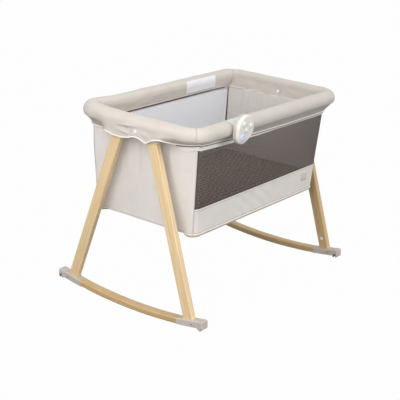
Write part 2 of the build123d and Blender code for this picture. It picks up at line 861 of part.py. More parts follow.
def make_base_board():
    half_x, half_y = wall_size(wall_low_z, -wall_thick - board_inset)[:2]
    with BuildPart() as board:
        with BuildSketch(Plane.XY.offset(board_z)) as outline:
            RectangleRounded(2 * half_x, 2 * half_y, board_corner)
        extrude(amount=board_thick)
    save(board, "base_board")


# Mattress
def make_mattress_quilt():
    low_z = mattress_z
    edge_z = mattress_z + mattress_height * crown_edge_share
    shoulder_z = mattress_z + mattress_height * crown_shoulder_share
    top_z = mattress_z + mattress_height
    sizes = (
        (low_z, 0), ((low_z + edge_z) / 2, -quilt_drawn_in), (edge_z, 0),
        (shoulder_z, -crown_inset), (top_z, -crown_flat_inset),
    )
    with BuildPart() as quilt:
        for (z0, grow0), (z1, grow1) in zip(sizes, sizes[1:]):
            low = (mattress_half_x + grow0, mattress_half_y + grow0, mattress_corner)
            high = (mattress_half_x + grow1, mattress_half_y + grow1, mattress_corner)
            taper(z0, low, z1, high)
        core = -quilt_thick + core_gap
        inside = (mattress_half_x + core, mattress_half_y + core, mattress_corner + core)
        taper(low_z, inside, edge_z, inside, mode=Mode.SUBTRACT)
        flat_x = mattress_half_x - crown_flat_inset
        flat_y = mattress_half_y - crown_flat_inset
        count = int((flat_x + flat_y) / channel_pitch)
        with BuildSketch(Plane.XY.offset(top_z)) as channels:
            for k in range(-count, count + 1):
                for turn in (-45, 45):
                    with Locations((k * channel_pitch, 0)):
                        Rectangle(channel_wide, 2 * (flat_x + flat_y), rotation=turn)
            RectangleRounded(2 * flat_x, 2 * flat_y, mattress_corner, mode=Mode.INTERSECT)
        extrude(amount=-channel_deep, mode=Mode.SUBTRACT)
    save(quilt, "mattress_quilt")


def make_mattress_core():
    edge_z = mattress_height * crown_edge_share
    with BuildPart() as core:
        with BuildSketch(Plane.XY.offset(mattress_z)) as outline:
            RectangleRounded(
                2 * (mattress_half_x - quilt_thick), 2 * (mattress_half_y - quilt_thick),
                mattress_corner - quilt_thick,
            )
        extrude(amount=edge_z - core_gap)
    save(core, "mattress_core")


# Soothing unit
def unit_outline(shrink):
    """Rounded outline of the unit seen from the front, in X and Z."""
    with Locations((unit_x, unit_z)):
        Circle(unit_head_radius - shrink)
    with Locations((unit_chin_x, unit_chin_z)):
        Circle(unit_chin_radius - shrink)
    make_hull()


def key_places():
    """Middle and radius of every key on the front."""
    small = tuple(zip(small_key_places, small_key_radii))
    return (((main_key_x, main_key_z), main_key_radius),) + small


def make_unit_front():
    front = Plane.XZ.offset(-unit_split_y)
    with BuildPart() as hollow:
        with BuildSketch(front) as outline:
            unit_outline(unit_wall)
        extrude(amount=unit_front_deep - unit_wall)
        fillet(hollow.faces().sort_by(Axis.Y)[0].edges(), unit_front_rounding - unit_wall)
    with BuildPart() as shell:
        with BuildSketch(front) as outline:
            unit_outline(0)
        extrude(amount=unit_front_deep)
        fillet(shell.faces().sort_by(Axis.Y)[0].edges(), unit_front_rounding)
        add(hollow.part, mode=Mode.SUBTRACT)
        for (x, z), radius in key_places():
            with BuildSketch(front) as hole:
                with Locations((x, z)):
                    Circle(radius + key_gap)
            extrude(amount=unit_front_deep + overrun, mode=Mode.SUBTRACT)
    save(shell, "soother_front")


def make_unit_back():
    back = Plane.XZ.offset(-unit_split_y)
    with BuildPart() as shell:
        with BuildSketch(back) as outline:
            unit_outline(0)
        extrude(amount=-unit_back_deep)
        fillet(shell.faces().sort_by(Axis.Y)[-1].edges(), unit_back_rounding)
        with BuildSketch(back) as hollow:
            unit_outline(unit_wall)
        extrude(amount=-unit_back_deep + unit_wall, mode=Mode.SUBTRACT)
        with BuildSketch(Plane.XZ.offset(-unit_back_y)) as door_hole:
            with Locations((unit_x, unit_z)):
                Rectangle(2 * (door_half_x + door_gap), 2 * (door_half_z + door_gap))
        extrude(amount=door_thick + door_gap, mode=Mode.SUBTRACT)
        with BuildSketch(Plane.XZ.offset(-unit_back_y)) as cell_hole:
            with Locations((unit_x, unit_z)):
                Rectangle(2 * (door_half_x - unit_wall), 2 * (door_half_z - unit_wall))
        extrude(amount=unit_back_deep, mode=Mode.SUBTRACT)
        with BuildSketch(Plane.XZ.offset(-unit_back_y)) as screw_holes:
            with Locations(*((unit_x + s * unit_screw_x, unit_screw_z) for s in (-1, 1))):
                Circle(unit_screw_radius + screw_gap)
        extrude(amount=unit_screw_length, mode=Mode.SUBTRACT)
    save(shell, "soother_back")


def make_unit_hook():
    """Strap hooked over the rail, behind the unit."""
    inner = roll_radius + unit_gap
    with BuildPart() as hook:
        with BuildSketch(Plane.YZ.offset(unit_x)) as profile:
            with Locations((-rail_half_y, rail_z)):
                Circle(inner + hook_thick)
                Rectangle(
                    2 * (inner + hook_thick), hook_leg, align=(Align.CENTER, Align.MAX)
                )
                Circle(inner, mode=Mode.SUBTRACT)
                Rectangle(
                    2 * inner, 2 * (inner + hook_thick), align=(Align.CENTER, Align.MAX),
                    mode=Mode.SUBTRACT,
                )
            with Locations((-rail_half_y, rail_z - hook_leg)):
                Rectangle(
                    2 * (inner + hook_thick) + overrun, overrun,
                    align=(Align.CENTER, Align.MAX), mode=Mode.SUBTRACT,
                )
        extrude(amount=hook_wide / 2, both=True)
        with BuildSketch(Plane.XZ.offset(rail_half_y + inner + hook_thick)) as screw_holes:
            with Locations(*((unit_x + s * unit_screw_x, unit_screw_z) for s in (-1, 1))):
                Circle(unit_screw_radius + screw_gap)
        extrude(amount=-hook_thick, mode=Mode.SUBTRACT)
        with BuildSketch(Plane.XZ.offset(rail_half_y + inner)) as screw_seats:
            with Locations(*((unit_x + s * unit_screw_x, unit_screw_z) for s in (-1, 1))):
                Circle(unit_screw_head_radius + screw_gap)
        extrude(amount=unit_screw_head_thick + screw_gap, mode=Mode.SUBTRACT)
    save(hook, "soother_hook")


def make_unit_screws():
    face_y = rail_half_y + roll_radius + unit_gap + unit_screw_head_thick
    with BuildPart() as screws:
        for amount, radius in (
            (-unit_screw_head_thick, unit_screw_head_radius), (unit_screw_length, unit_screw_radius),
        ):
            with BuildSketch(Plane.XZ.offset(face_y)) as section:
                with Locations(*((unit_x + s * unit_screw_x, unit_screw_z) for s in (-1, 1))):
                    Circle(radius)
            extrude(amount=amount)
    save(screws, "soother_screws")


def make_battery_door():
    with BuildPart() as door:
        with BuildSketch(Plane.XZ.offset(-unit_back_y)) as outline:
            with Locations((unit_x, unit_z)):
                Rectangle(2 * door_half_x, 2 * door_half_z)
        extrude(amount=door_thick)
    save(door, "soother_battery_door")


def make_cells():
    with BuildPart() as cells:
        row_y = unit_back_y - door_thick - door_gap - cell_radius
        for k in range(cell_count):
            z = unit_z + (k - (cell_count - 1) / 2) * cell_pitch
            with BuildSketch(Plane.YZ.offset(unit_x)) as section:
                with Locations((row_y, z)):
                    Circle(cell_radius)
            extrude(amount=cell_length / 2, both=True)
    save(cells, "soother_batteries")


def make_circuit_board():
    with BuildPart() as board:
        with BuildSketch(Plane.XZ.offset(-unit_split_y + plate_inset)) as outline:
            with Locations((unit_x, unit_z)):
                Circle(unit_head_radius - unit_wall - door_gap)
            with Locations((unit_chin_x, unit_chin_z)):
                Circle(unit_chin_radius - unit_wall - door_gap)
            make_hull()
        extrude(amount=-plate_thick)
    save(board, "soother_circuit_board")


def make_speaker():
    with BuildPart() as speaker:
        with BuildSketch(Plane.XZ.offset(-unit_split_y + plate_inset)) as outline:
            with Locations((speaker_x, speaker_z)):
                Circle(speaker_radius)
        extrude(amount=speaker_deep)
    save(speaker, "soother_speaker")


def make_key(name, place, radius):
    """Key with a flange behind the shell and a stem that stops short of the circuit board."""
    inside_y = unit_front_y + unit_wall + key_gap
    stem_end_y = unit_split_y - plate_inset - key_travel - key_gap
    with BuildPart() as key:
        with BuildSketch(Plane.XZ.offset(-unit_front_y + key_proud)) as outline:
            with Locations(place):
                Circle(radius)
        extrude(amount=unit_front_y - key_proud - inside_y)
        fillet(key.edges().group_by(Axis.Y)[0], key_rounding)
        for section_radius, end_y in (
            (radius + key_gap + key_flange, inside_y + key_flange), (key_stem_radius, stem_end_y),
        ):
            with BuildSketch(Plane.XZ.offset(-inside_y)) as section:
                with Locations(place):
                    Circle(section_radius)
            extrude(amount=inside_y - end_y)
    save(key, name)


for end, end_name in ((-1, "near"), (1, "far")):
    make_rocker(end, f"rocker_{end_name}")
    make_hub_half(end, True, f"hub_outer_{end_name}")
    make_hub_half(end, False, f"hub_inner_{end_name}")
    make_end_tube(end, f"rail_end_tube_{end_name}")
    make_end_panel(end, f"end_panel_{end_name}")
    for side, side_name in ((-1, "front"), (1, "back")):
        make_cap(end, side, f"rocker_cap_{end_name}_{side_name}")
        make_stop_foot(end, side, f"stop_foot_{end_name}_{side_name}")
        make_leg(end, side, f"leg_{end_name}_{side_name}")

cover = cover_quarter()
for end, end_name in ((-1, "near"), (1, "far")):
    make_cuff(end, f"rail_cuff_{end_name}", cover)
for side, side_name in ((-1, "front"), (1, "back")):
    make_side_cover(side, f"rail_cover_{side_name}", cover)
    make_side_tube(side, f"rail_side_tube_{side_name}")
    make_foam(side, f"rail_foam_{side_name}")
    make_side_sheet(side, f"side_band_{side_name}", wall_low_z, band_top_z, wall_thick)
    make_side_sheet(side, f"mesh_window_{side_name}", band_top_z, wall_top_z, mesh_thick)

make_pins()
make_screws(
    "leg_foot_screws", frame_x - leg_thick / 2, (leg_line(foot_screw_z, 0), foot_screw_z),
    foot_screw_head_radius, foot_screw_head_thick, foot_screw_length,
)
make_screws(
    "leg_top_screws", hub_inner_x + top_screw_head_thick, (leg_line(top_screw_z, 0), top_screw_z),
    top_screw_head_radius, top_screw_head_thick, top_screw_length,
)
make_screws(
    "hub_screws", hub_inner_x + top_screw_head_thick, (hub_screw_y, hub_screw_z),
    top_screw_head_radius, top_screw_head_thick, hub_screw_length,
)
make_sleeves()
make_hem_piping()
make_snaps()
make_base_cover()
make_bottom_piping()
make_base_frame()
make_base_board()
make_mattress_quilt()
make_mattress_core()
make_unit_front()
make_unit_back()
make_unit_hook()
make_unit_screws()
make_battery_door()
make_cells()
make_circuit_board()
make_speaker()
key_names = ("soother_main_key", "soother_light_key", "soother_melody_key", "soother_volume_key")
for name, (place, radius) in zip(key_names, key_places()):
    make_key(name, place, radius)
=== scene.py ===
import bmesh
import bpy
import numpy as np
from mathutils import Matrix, Vector


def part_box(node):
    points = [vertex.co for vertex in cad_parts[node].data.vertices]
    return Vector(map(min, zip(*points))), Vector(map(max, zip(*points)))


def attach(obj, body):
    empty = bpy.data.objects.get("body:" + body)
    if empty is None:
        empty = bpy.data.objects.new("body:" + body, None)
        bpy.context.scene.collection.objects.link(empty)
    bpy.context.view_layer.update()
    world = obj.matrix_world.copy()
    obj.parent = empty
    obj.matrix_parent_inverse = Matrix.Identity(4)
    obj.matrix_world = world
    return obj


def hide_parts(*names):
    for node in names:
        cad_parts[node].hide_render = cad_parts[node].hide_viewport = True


# Rocking bassinet, in metres. X runs along it from the near end (-X) to the far end (+X), the
# front side is -Y, +Z is up, and the origin is on the floor under the middle.
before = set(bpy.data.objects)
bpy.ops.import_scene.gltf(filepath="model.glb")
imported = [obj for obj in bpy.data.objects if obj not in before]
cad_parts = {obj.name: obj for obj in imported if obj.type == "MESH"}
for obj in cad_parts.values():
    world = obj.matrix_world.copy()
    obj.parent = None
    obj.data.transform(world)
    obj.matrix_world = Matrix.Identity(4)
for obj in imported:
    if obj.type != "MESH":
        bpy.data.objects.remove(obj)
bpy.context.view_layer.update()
FRAME_BODY = "bassinet_frame"

# The rail's middle line (half sizes, corner radius, height), and the roll of cloth round it: its
# radius, and the power of the superellipse that its inner half follows
RAIL_HALF = (0.421, 0.235)
RAIL_CORNER = 0.057
RAIL_Z = 0.646
ROLL = 0.0262
FULLNESS = 2 / 3

# The cover beyond the roll: heights of the skirt's top and the inner flap's edge, how far the
# flap's edge and the hem stand out from the rail's middle line, and their corner radii
SKIRT_Z = 0.632
FLAP_Z = 0.6125
FLAP_OUT = {"end": -0.0352, "side": -0.0182}
HEM_OUT = {"end": -0.0298, "side": -0.0128}
HEM_CORNER = 0.0145
FLAP_CORNER = 0.012
SKIRT_BOW = 0.0016
COVER_THICK = 0.0017

# Its slight ripple, the dip at its corner seams (depth, columns), the shares of the roll, counted
# back from its outer foot, between which folds pass from one face to the other, and its grid
COVER_RIPPLE = 0.0005
SEAM_DIP, SEAM_DIP_COLUMNS = 0.0012, 0.9
ROLL_CROWN = (0.62, 0.45)
FLAP_ROWS, ROLL_ROWS, SKIRT_ROWS = 7, 34, 13
COVER_CORNER_COLUMNS = 12

# The hub under an end's cover: its brow (out, height, radius), the angle at which the cloth
# leaves the roll for it, where its section fades along the end, its outer face, and how far the
# skirt stands off it
HUB_BROW = (0.013, 0.6465, 0.0203)
HUB_LEAVE = np.radians(64.7)
HUB_HALF = (0.105, 0.175)
HUB_FACE_X = 0.412
HUB_SKIRT_OUT = 0.0004

# Radii of pipings, of the brown cord that paints the shadow under the hem piping, and of seams
HEM_PIPING = 0.0022
EDGE_PIPING = 0.0016
BOTTOM_PIPING = 0.0019
HEM_SHADOW_CORD = 0.0014
SEAM = 0.00045

# The basket's wall: heights of its piping and its top, and its outer face's half sizes and
# corner radius at both
WALL_FOOT, WALL_HEAD = 0.300, 0.612
FOOT_HALF = (0.376, 0.211)
HEAD_HALF = (0.388, 0.219)
WALL_CORNERS = (0.034, 0.010)
WALL_CORNER_COLUMNS = 8
WALL_THICK = 0.0018
BAND_TOP = 0.388
NET_HEIGHT = 0.224
NET_THICK = 0.0006

# Columns along a side and rows down it, for each kind of piece on the wall
PANEL_GRID = (130, 60)
BAND_GRID = (160, 16)
NET_GRID = (120, 24)
TAPE_GRID = (120, 3)
SIDE_TAPE_GRID = (120, 20)
FACING_GRID = (200, 5)
SEAM_GRID = (20, 40)
STITCH_GRID = (60, 2)

# How far each kind of trim stands outside the wall's face, and how thick it is
PROUD = {
    "net": -0.0004, "sill": 0.0006, "head_tape": -0.0022, "side_tape": -0.0016,
    "facing": 0.0010, "seam": 0.0002, "stitch_shadow_line": 0.0003, "tab": 0.0009, "patch": 0.0010,
}
TRIM_THICK = {"sill": 0.0009, "tape": 0.0008, "facing": 0.0010, "tab": 0.0007, "patch": 0.0006}

# The quilting: spacing of its two sets of lines, and how far and how often they sway
QUILT_PITCH = (0.022, 0.018)
QUILT_SWAY, QUILT_WAVE = 0.003, 0.040

# Height of the cover's hem at places along each side, counted from the middle of the side and
# growing anticlockwise seen from above
HEM_NEAR = (
    (-0.223, 0.6000), (-0.196, 0.5985), (-0.166, 0.5980), (-0.148, 0.5957), (-0.134, 0.5948),
    (-0.121, 0.5985), (-0.103, 0.6045), (-0.090, 0.6070), (-0.076, 0.6040), (-0.067, 0.6000),
    (-0.050, 0.5990), (-0.036, 0.5990), (-0.023, 0.6015), (-0.012, 0.6040), (-0.004, 0.6080),
    (0.004, 0.6112), (0.021, 0.6105), (0.030, 0.6068), (0.040, 0.6020), (0.048, 0.6005),
    (0.056, 0.6070), (0.066, 0.6140), (0.083, 0.6200), (0.0915, 0.6200), (0.100, 0.6163),
    (0.109, 0.6125), (0.118, 0.6087), (0.1275, 0.6067), (0.1365, 0.6067), (0.1455, 0.6084),
    (0.1545, 0.6107), (0.163, 0.6132), (0.180, 0.6147), (0.199, 0.6152), (0.223, 0.6155),
)
HEM_FRONT = (
    (-0.409, 0.6155), (-0.384, 0.6157), (-0.330, 0.6128), (-0.276, 0.6090), (-0.200, 0.6045),
    (-0.120, 0.6000), (-0.042, 0.5960), (0.090, 0.5935), (0.292, 0.5930), (0.409, 0.5960),
)
HEM_FAR = (
    (-0.223, 0.5960), (-0.174, 0.5915), (-0.130, 0.5930), (-0.095, 0.6020), (-0.072, 0.6035),
    (-0.045, 0.5985), (-0.012, 0.6035), (0.012, 0.6040), (0.045, 0.5985), (0.072, 0.5990),
    (0.110, 0.5980), (0.142, 0.5900), (0.180, 0.5910), (0.223, 0.5960),
)
HEM_BACK = (
    (-0.409, 0.5960), (-0.365, 0.6045), (-0.200, 0.6070), (0.200, 0.6070), (0.365, 0.6050),
    (0.409, 0.6000),
)

# Height of the inner flap's edge, and how far the facing reaches below the hem
FLAP_EDGE = {
    "near": ((-0.223, FLAP_Z), (0.223, FLAP_Z)),
    "front": ((-0.409, FLAP_Z), (0.409, 0.6080)),
    "far": (
        (-0.223, 0.6080), (-0.092, 0.6076), (-0.028, 0.6117), (0.022, 0.6114), (0.089, 0.6085),
        (0.163, 0.6075), (0.223, 0.6040),
    ),
    "back": ((-0.409, 0.6040), (-0.340, 0.6115), (-0.200, FLAP_Z), (0.409, FLAP_Z)),
}
FACING_DROP = {
    "near": (
        (-0.223, 0.005), (0.110, 0.005), (0.134, 0.014), (0.152, 0.0205), (0.190, 0.0215),
        (0.216, 0.0170),
    ),
    "front": (
        (-0.409, 0.0170), (-0.378, 0.0190), (-0.270, 0.0180), (-0.085, 0.0120), (0.090, 0.0085),
        (0.409, 0.0100),
    ),
    "far": ((-0.216, 0.0095), (0.216, 0.0090)),
    "back": ((-0.409, 0.0110), (-0.300, 0.0040), (0.300, 0.0040), (0.409, 0.0050)),
}

# How far the near back corner stands out beyond the others, and up, by height; the reach of that
# pull; and, over the rail, the heights and the distances from the corner's centre that limit it
CORNER_OUT = ((0.300, 0.370, 0.520, 0.600, 0.672), (0.004, 0.010, 0.0105, 0.008, 0.0035))
CORNER_UP = ((0.612, 0.640), (0.0, 0.0075))
PULL_REACH = 0.075
PULL_RAIL_Z = (0.600, 0.630)
PULL_RAIL_OUT = (0.045, 0.078)

# Soft folds in the cover: face, place along the side, height, turn in degrees, half length,
# half width, rise
FOLDS_NEAR = (
    ("out", -0.020, 0.6425, 6, 0.036, 0.0050, 0.0042),
    ("out", -0.026, 0.6345, 6, 0.026, 0.0032, -0.0050),
    ("out", -0.024, 0.6275, 6, 0.020, 0.0034, -0.0022),
    ("out", -0.033, 0.6185, -4, 0.024, 0.0042, 0.0040),
    ("out", -0.0105, 0.6200, 80, 0.009, 0.0028, -0.0054),
    ("out", 0.003, 0.6165, 58, 0.011, 0.0042, 0.0038),
    ("out", 0.027, 0.6200, -42, 0.014, 0.0036, 0.0024),
    ("out", 0.052, 0.6240, -14, 0.020, 0.0060, 0.0016),
    ("out", -0.140, 0.6080, 14, 0.030, 0.0070, 0.0018),
    ("out", -0.185, 0.6060, 34, 0.016, 0.0040, 0.0016),
    ("out", 0.165, 0.6240, -6, 0.035, 0.0060, 0.0010),
    ("in", 0.000, 0.6300, 60, 0.022, 0.0080, 0.0020),
)
FOLDS_FAR = (
    ("out", 0.012, 0.6190, -50, 0.014, 0.0045, 0.0030),
    ("out", -0.030, 0.6230, 8, 0.024, 0.0050, 0.0024),
    ("out", 0.034, 0.6370, -8, 0.022, 0.0050, 0.0022),
    ("in", -0.012, 0.6280, 0, 0.017, 0.0120, -0.0060),
    ("in", 0.030, 0.6420, -35, 0.030, 0.0070, 0.0018),
    ("in", 0.090, 0.6330, 76, 0.022, 0.0200, -0.0028),
    ("in", 0.128, 0.6330, 82, 0.024, 0.0130, 0.0026),
    ("in", -0.070, 0.6350, 20, 0.035, 0.0080, 0.0016),
)
FOLDS_FRONT = (
    ("out", -0.372, 0.6200, 88, 0.013, 0.0060, 0.0014),
    ("out", -0.340, 0.6180, 80, 0.012, 0.0080, 0.0010),
    ("out", 0.150, 0.6150, 4, 0.090, 0.0060, 0.0008),
)
FOLDS_BACK = (
    ("in", 0.180, 0.6350, 6, 0.080, 0.0080, 0.0010),
    ("out", -0.100, 0.6130, 4, 0.120, 0.0070, 0.0010),
)

# Gathers in the end panels: place at GATHER_Z, lean, half width and depth
GATHER_Z = 0.6
GATHERS_NEAR = (
    (-0.093, 0.03, 0.011, 0.0046), (-0.030, 0.02, 0.010, 0.0030),
    (0.034, -0.02, 0.010, 0.0030), (0.090, -0.03, 0.012, 0.0046),
)
GATHERS_FAR = (
    (0.128, 0.08, 0.012, 0.0110), (0.098, 0.10, 0.010, -0.0012), (0.064, 0.14, 0.011, 0.0080),
    (0.004, 0.10, 0.011, 0.0050), (-0.060, -0.06, 0.013, 0.0060),
)


# The camera's lens in millimetres, its shift, its three axes and its place
SENSOR_WIDTH, LENS = 36, 95.41
LENS_SHIFT = (-0.0088, -0.0219)
CAMERA_RIGHT = (0.59976683, -0.79815286, 0.0568486)
CAMERA_UP = (0.22629649, 0.23733563, 0.94470191)
CAMERA_BACK = (-0.76750873, -0.55373623, 0.32296523)
CAMERA_PLACE = (-2.98216, -2.12101, 1.56095)


def camera():
    """The photograph's place: outside the near front corner, a little above the rail."""
    lens = bpy.data.cameras.new("camera")
    lens.sensor_width = SENSOR_WIDTH
    lens.lens = LENS
    lens.shift_x, lens.shift_y = LENS_SHIFT
    stand = bpy.data.objects.new("camera", lens)
    rows = zip(CAMERA_RIGHT, CAMERA_UP, CAMERA_BACK, CAMERA_PLACE)
    stand.matrix_world = Matrix([*rows, (0, 0, 0, 1)])
    bpy.context.scene.collection.objects.link(stand)
    bpy.context.scene.camera = stand


camera()


# Materials

def colour(code):
    """A shader colour from an sRGB hex value."""
    parts = np.array([int(code[i : i + 2], 16) for i in (0, 2, 4)]) / 255
    flat = np.where(parts <= 0.04045, parts / 12.92, ((parts + 0.055) / 1.055) ** 2.4)
    return (*flat.tolist(), 1.0)


def add(tree, kind, inputs=None, **settings):
    """Add one shader node, with its settings, and values or other nodes' outputs as inputs."""
    made = tree.nodes.new("ShaderNode" + kind)
    for name, value in settings.items():
        setattr(made, name, value)
    for name, value in (inputs or {}).items():
        if isinstance(value, bpy.types.NodeSocket):
            tree.links.new(value, made.inputs[name])
        else:
            made.inputs[name].default_value = value
    return made


def blank(name):
    """A material without nodes, and its tree."""
    made = bpy.data.materials.new(name)
    made.use_nodes = True
    made.node_tree.nodes.clear()
    return made, made.node_tree


def beech(name, tones, lean=0.0, along_y=False):
    """Clear-lacquered beech: a pale even ground, soft growth bands along the grain, and the short
    darker flecks of its rays. The bands are 5 mm wide and drawn long; the flecks are 1 by 9 mm,
    coarser than the real ones so that they show. `tones` are a dark band, a pale one and a fleck."""
    made, tree = blank(name)
    place = add(tree, "TexCoord").outputs["Object"]
    turn = (lean, 0, 0)
    grain = (0.005, 0.16, 0.005) if along_y else (0.005, 0.005, 0.16)
    fleck = (0.0011, 0.009, 0.0011) if along_y else (0.0011, 0.0011, 0.009)
    grain_place = add(tree, "Mapping", {"Vector": place, "Rotation": turn, "Scale": grain},
                      vector_type="TEXTURE")
    fleck_place = add(tree, "Mapping", {"Vector": place, "Rotation": turn, "Scale": fleck},
                      vector_type="TEXTURE")
    bands = add(tree, "TexNoise", {
        "Vector": grain_place.outputs[0], "Scale": 1.0, "Detail": 4.0, "Roughness": 0.6,
        "Distortion": 0.6,
    })
    flecks = add(tree, "TexNoise", {"Vector": fleck_place.outputs[0], "Scale": 1.0, "Detail": 1.0})
    fleck_mask = add(tree, "MapRange", {
        "Value": flecks.outputs["Fac"], "From Min": 0.60, "From Max": 0.72, "To Min": 0.0,
        "To Max": 0.30,
    })
    wide = add(tree, "MapRange", {"Value": bands.outputs["Fac"], "From Min": 0.32, "From Max": 0.68})
    ground = add(tree, "Mix", {0: wide.outputs[0], 6: colour(tones[0]), 7: colour(tones[1])},
                 data_type="RGBA")
    tone = add(tree, "Mix", {0: fleck_mask.outputs[0], 6: ground.outputs[2], 7: colour(tones[2])},
               data_type="RGBA")
    rise = add(tree, "Bump", {"Strength": 0.25, "Distance": 0.0003, "Height": bands.outputs["Fac"]})
    shader = add(tree, "BsdfPrincipled", {
        "Base Color": tone.outputs[2], "Roughness": 0.42, "IOR": 1.5, "Normal": rise.outputs[0],
        "Coat Weight": 0.15, "Coat Roughness": 0.3,
    })
    add(tree, "OutputMaterial", {"Surface": shader.outputs[0]})
    return made


def moulded(name, main, shade, grit=0.0012, roughness=0.5, depth=0.0001, coat=0.0):
    """Moulded plastic: one colour with a slight drift over 60 mm, and a fine spark-eroded grit that
    breaks up the gloss, drawn at 1 mm or more so that it shows."""
    made, tree = blank(name)
    place = add(tree, "TexCoord").outputs["Object"]
    drift = add(tree, "TexNoise", {"Vector": place, "Scale": 16.0, "Detail": 2.0})
    grain = add(tree, "TexNoise", {"Vector": place, "Scale": 1 / grit, "Detail": 2.0})
    share = add(tree, "MapRange", {"Value": drift.outputs["Fac"], "From Min": 0.35, "From Max": 0.65})
    tone = add(tree, "Mix", {0: share.outputs[0], 6: colour(shade), 7: colour(main)},
               data_type="RGBA")
    gloss = add(tree, "MapRange", {
        "Value": grain.outputs["Fac"], "To Min": roughness - 0.07, "To Max": roughness + 0.09,
    })
    rise = add(tree, "Bump", {"Strength": 0.35, "Distance": depth, "Height": grain.outputs["Fac"]})
    shader = add(tree, "BsdfPrincipled", {
        "Base Color": tone.outputs[2], "Roughness": gloss.outputs[0], "IOR": 1.5,
        "Normal": rise.outputs[0], "Coat Weight": coat, "Coat Roughness": 0.12,
    })
    add(tree, "OutputMaterial", {"Surface": shader.outputs[0]})
    return made


def metal(name, main, shade, roughness, brush=0.0008, metallic=1.0):
    """Zinc-plated or powder-coated steel: drifting tone, and fine turning marks or grit."""
    made, tree = blank(name)
    place = add(tree, "TexCoord").outputs["Object"]
    marks = add(tree, "TexNoise", {"Vector": place, "Scale": 1 / brush, "Detail": 3.0})
    tone = add(tree, "Mix", {0: marks.outputs["Fac"], 6: colour(shade), 7: colour(main)},
               data_type="RGBA")
    gloss = add(tree, "MapRange", {
        "Value": marks.outputs["Fac"], "To Min": roughness - 0.08, "To Max": roughness + 0.08,
    })
    rise = add(tree, "Bump", {"Strength": 0.2, "Distance": 0.00005, "Height": marks.outputs["Fac"]})
    shader = add(tree, "BsdfPrincipled", {
        "Base Color": tone.outputs[2], "Metallic": metallic, "Roughness": gloss.outputs[0],
        "Normal": rise.outputs[0],
    })
    add(tree, "OutputMaterial", {"Surface": shader.outputs[0]})
    return made


# A wave texture of scale 1 repeats about every 0.314 of its map
WAVE_TURN = 0.314


def woven(name, main, shade, thread=0.0016, depth=0.00022, sheen=0.12):
    """Plain-woven polyester: over-and-under threads from two crossed waves on the cloth's own
    map, slubs that run along the thread, and a soft sheen at the edges. The real thread is
    about 0.5 mm wide and is drawn three times as coarse so that it shows."""
    made, tree = blank(name)
    cloth = add(tree, "UVMap", uv_map="cloth").outputs[0]
    threads = {"Vector": cloth, "Scale": WAVE_TURN / thread, "Distortion": 0.4, "Detail": 1.0}
    warp = add(tree, "TexWave", threads, bands_direction="X")
    weft = add(tree, "TexWave", threads, bands_direction="Y")
    weave = add(tree, "Math", {0: warp.outputs["Fac"], 1: weft.outputs["Fac"]}, operation="ADD")
    run = add(tree, "Mapping", {"Vector": cloth, "Scale": (0.06, 0.004, 1.0)}, vector_type="TEXTURE")
    slubs = add(tree, "TexNoise", {
        "Vector": run.outputs[0], "Scale": 1.0, "Detail": 3.0, "Roughness": 0.7,
    })
    wear = add(tree, "TexNoise", {"Vector": cloth, "Scale": 14.0, "Detail": 3.0})
    both = add(tree, "Math", {0: slubs.outputs["Fac"], 1: wear.outputs["Fac"]}, operation="ADD")
    share = add(tree, "MapRange", {"Value": both.outputs[0], "From Min": 0.7, "From Max": 1.3})
    tone = add(tree, "Mix", {0: share.outputs[0], 6: colour(shade), 7: colour(main)},
               data_type="RGBA")
    rise = add(tree, "Bump", {"Strength": 0.5, "Distance": depth, "Height": weave.outputs[0]})
    shader = add(tree, "BsdfPrincipled", {
        "Base Color": tone.outputs[2], "Roughness": 0.88, "IOR": 1.45, "Normal": rise.outputs[0],
        "Specular IOR Level": 0.25, "Sheen Weight": sheen, "Sheen Roughness": 0.5,
        "Sheen Tint": (1, 1, 1, 1),
    })
    add(tree, "OutputMaterial", {"Surface": shader.outputs[0]})
    return made


EIGHTH_TURN = 0.785


def net(name, main, shade, bar, pitch=0.0030):
    """Knitted net: square meshes set on their corners, real holes between its bars, which are dark,
    or pale where the pale colour is painted light on the net's inner face. The real pitch is about
    1.5 mm and is drawn twice as coarse. `bar` is half a bar's share of it."""
    made, tree = blank(name)
    cloth = add(tree, "UVMap", uv_map="cloth").outputs[0]
    turned = add(tree, "Mapping", {
        "Vector": cloth, "Rotation": (0, 0, EIGHTH_TURN), "Scale": (pitch, pitch, 1.0),
    }, vector_type="TEXTURE")
    cells = add(tree, "TexVoronoi", {"Vector": turned.outputs[0], "Scale": 1.0, "Randomness": 0.12},
                voronoi_dimensions="2D", feature="DISTANCE_TO_EDGE")
    hole = add(tree, "Math", {0: cells.outputs["Distance"], 1: bar}, operation="GREATER_THAN")
    drift = add(tree, "TexNoise", {"Vector": cloth, "Scale": 12.0, "Detail": 3.0})
    tone = add(tree, "Mix", {0: drift.outputs["Fac"], 6: colour(shade), 7: colour(main)},
               data_type="RGBA")
    rise = add(tree, "Bump", {
        "Strength": 0.4, "Distance": 0.0004, "Height": cells.outputs["Distance"],
    }, invert=True)
    yarn = add(tree, "BsdfPrincipled", {
        "Base Color": tone.outputs[2], "Roughness": 0.8, "Normal": rise.outputs[0],
        "Specular IOR Level": 0.2, "Sheen Weight": 0.1,
    })
    gap = add(tree, "BsdfTransparent")
    both = add(tree, "MixShader", {0: hole.outputs[0], 1: yarn.outputs[0], 2: gap.outputs[0]})
    add(tree, "OutputMaterial", {"Surface": both.outputs[0]})
    return made


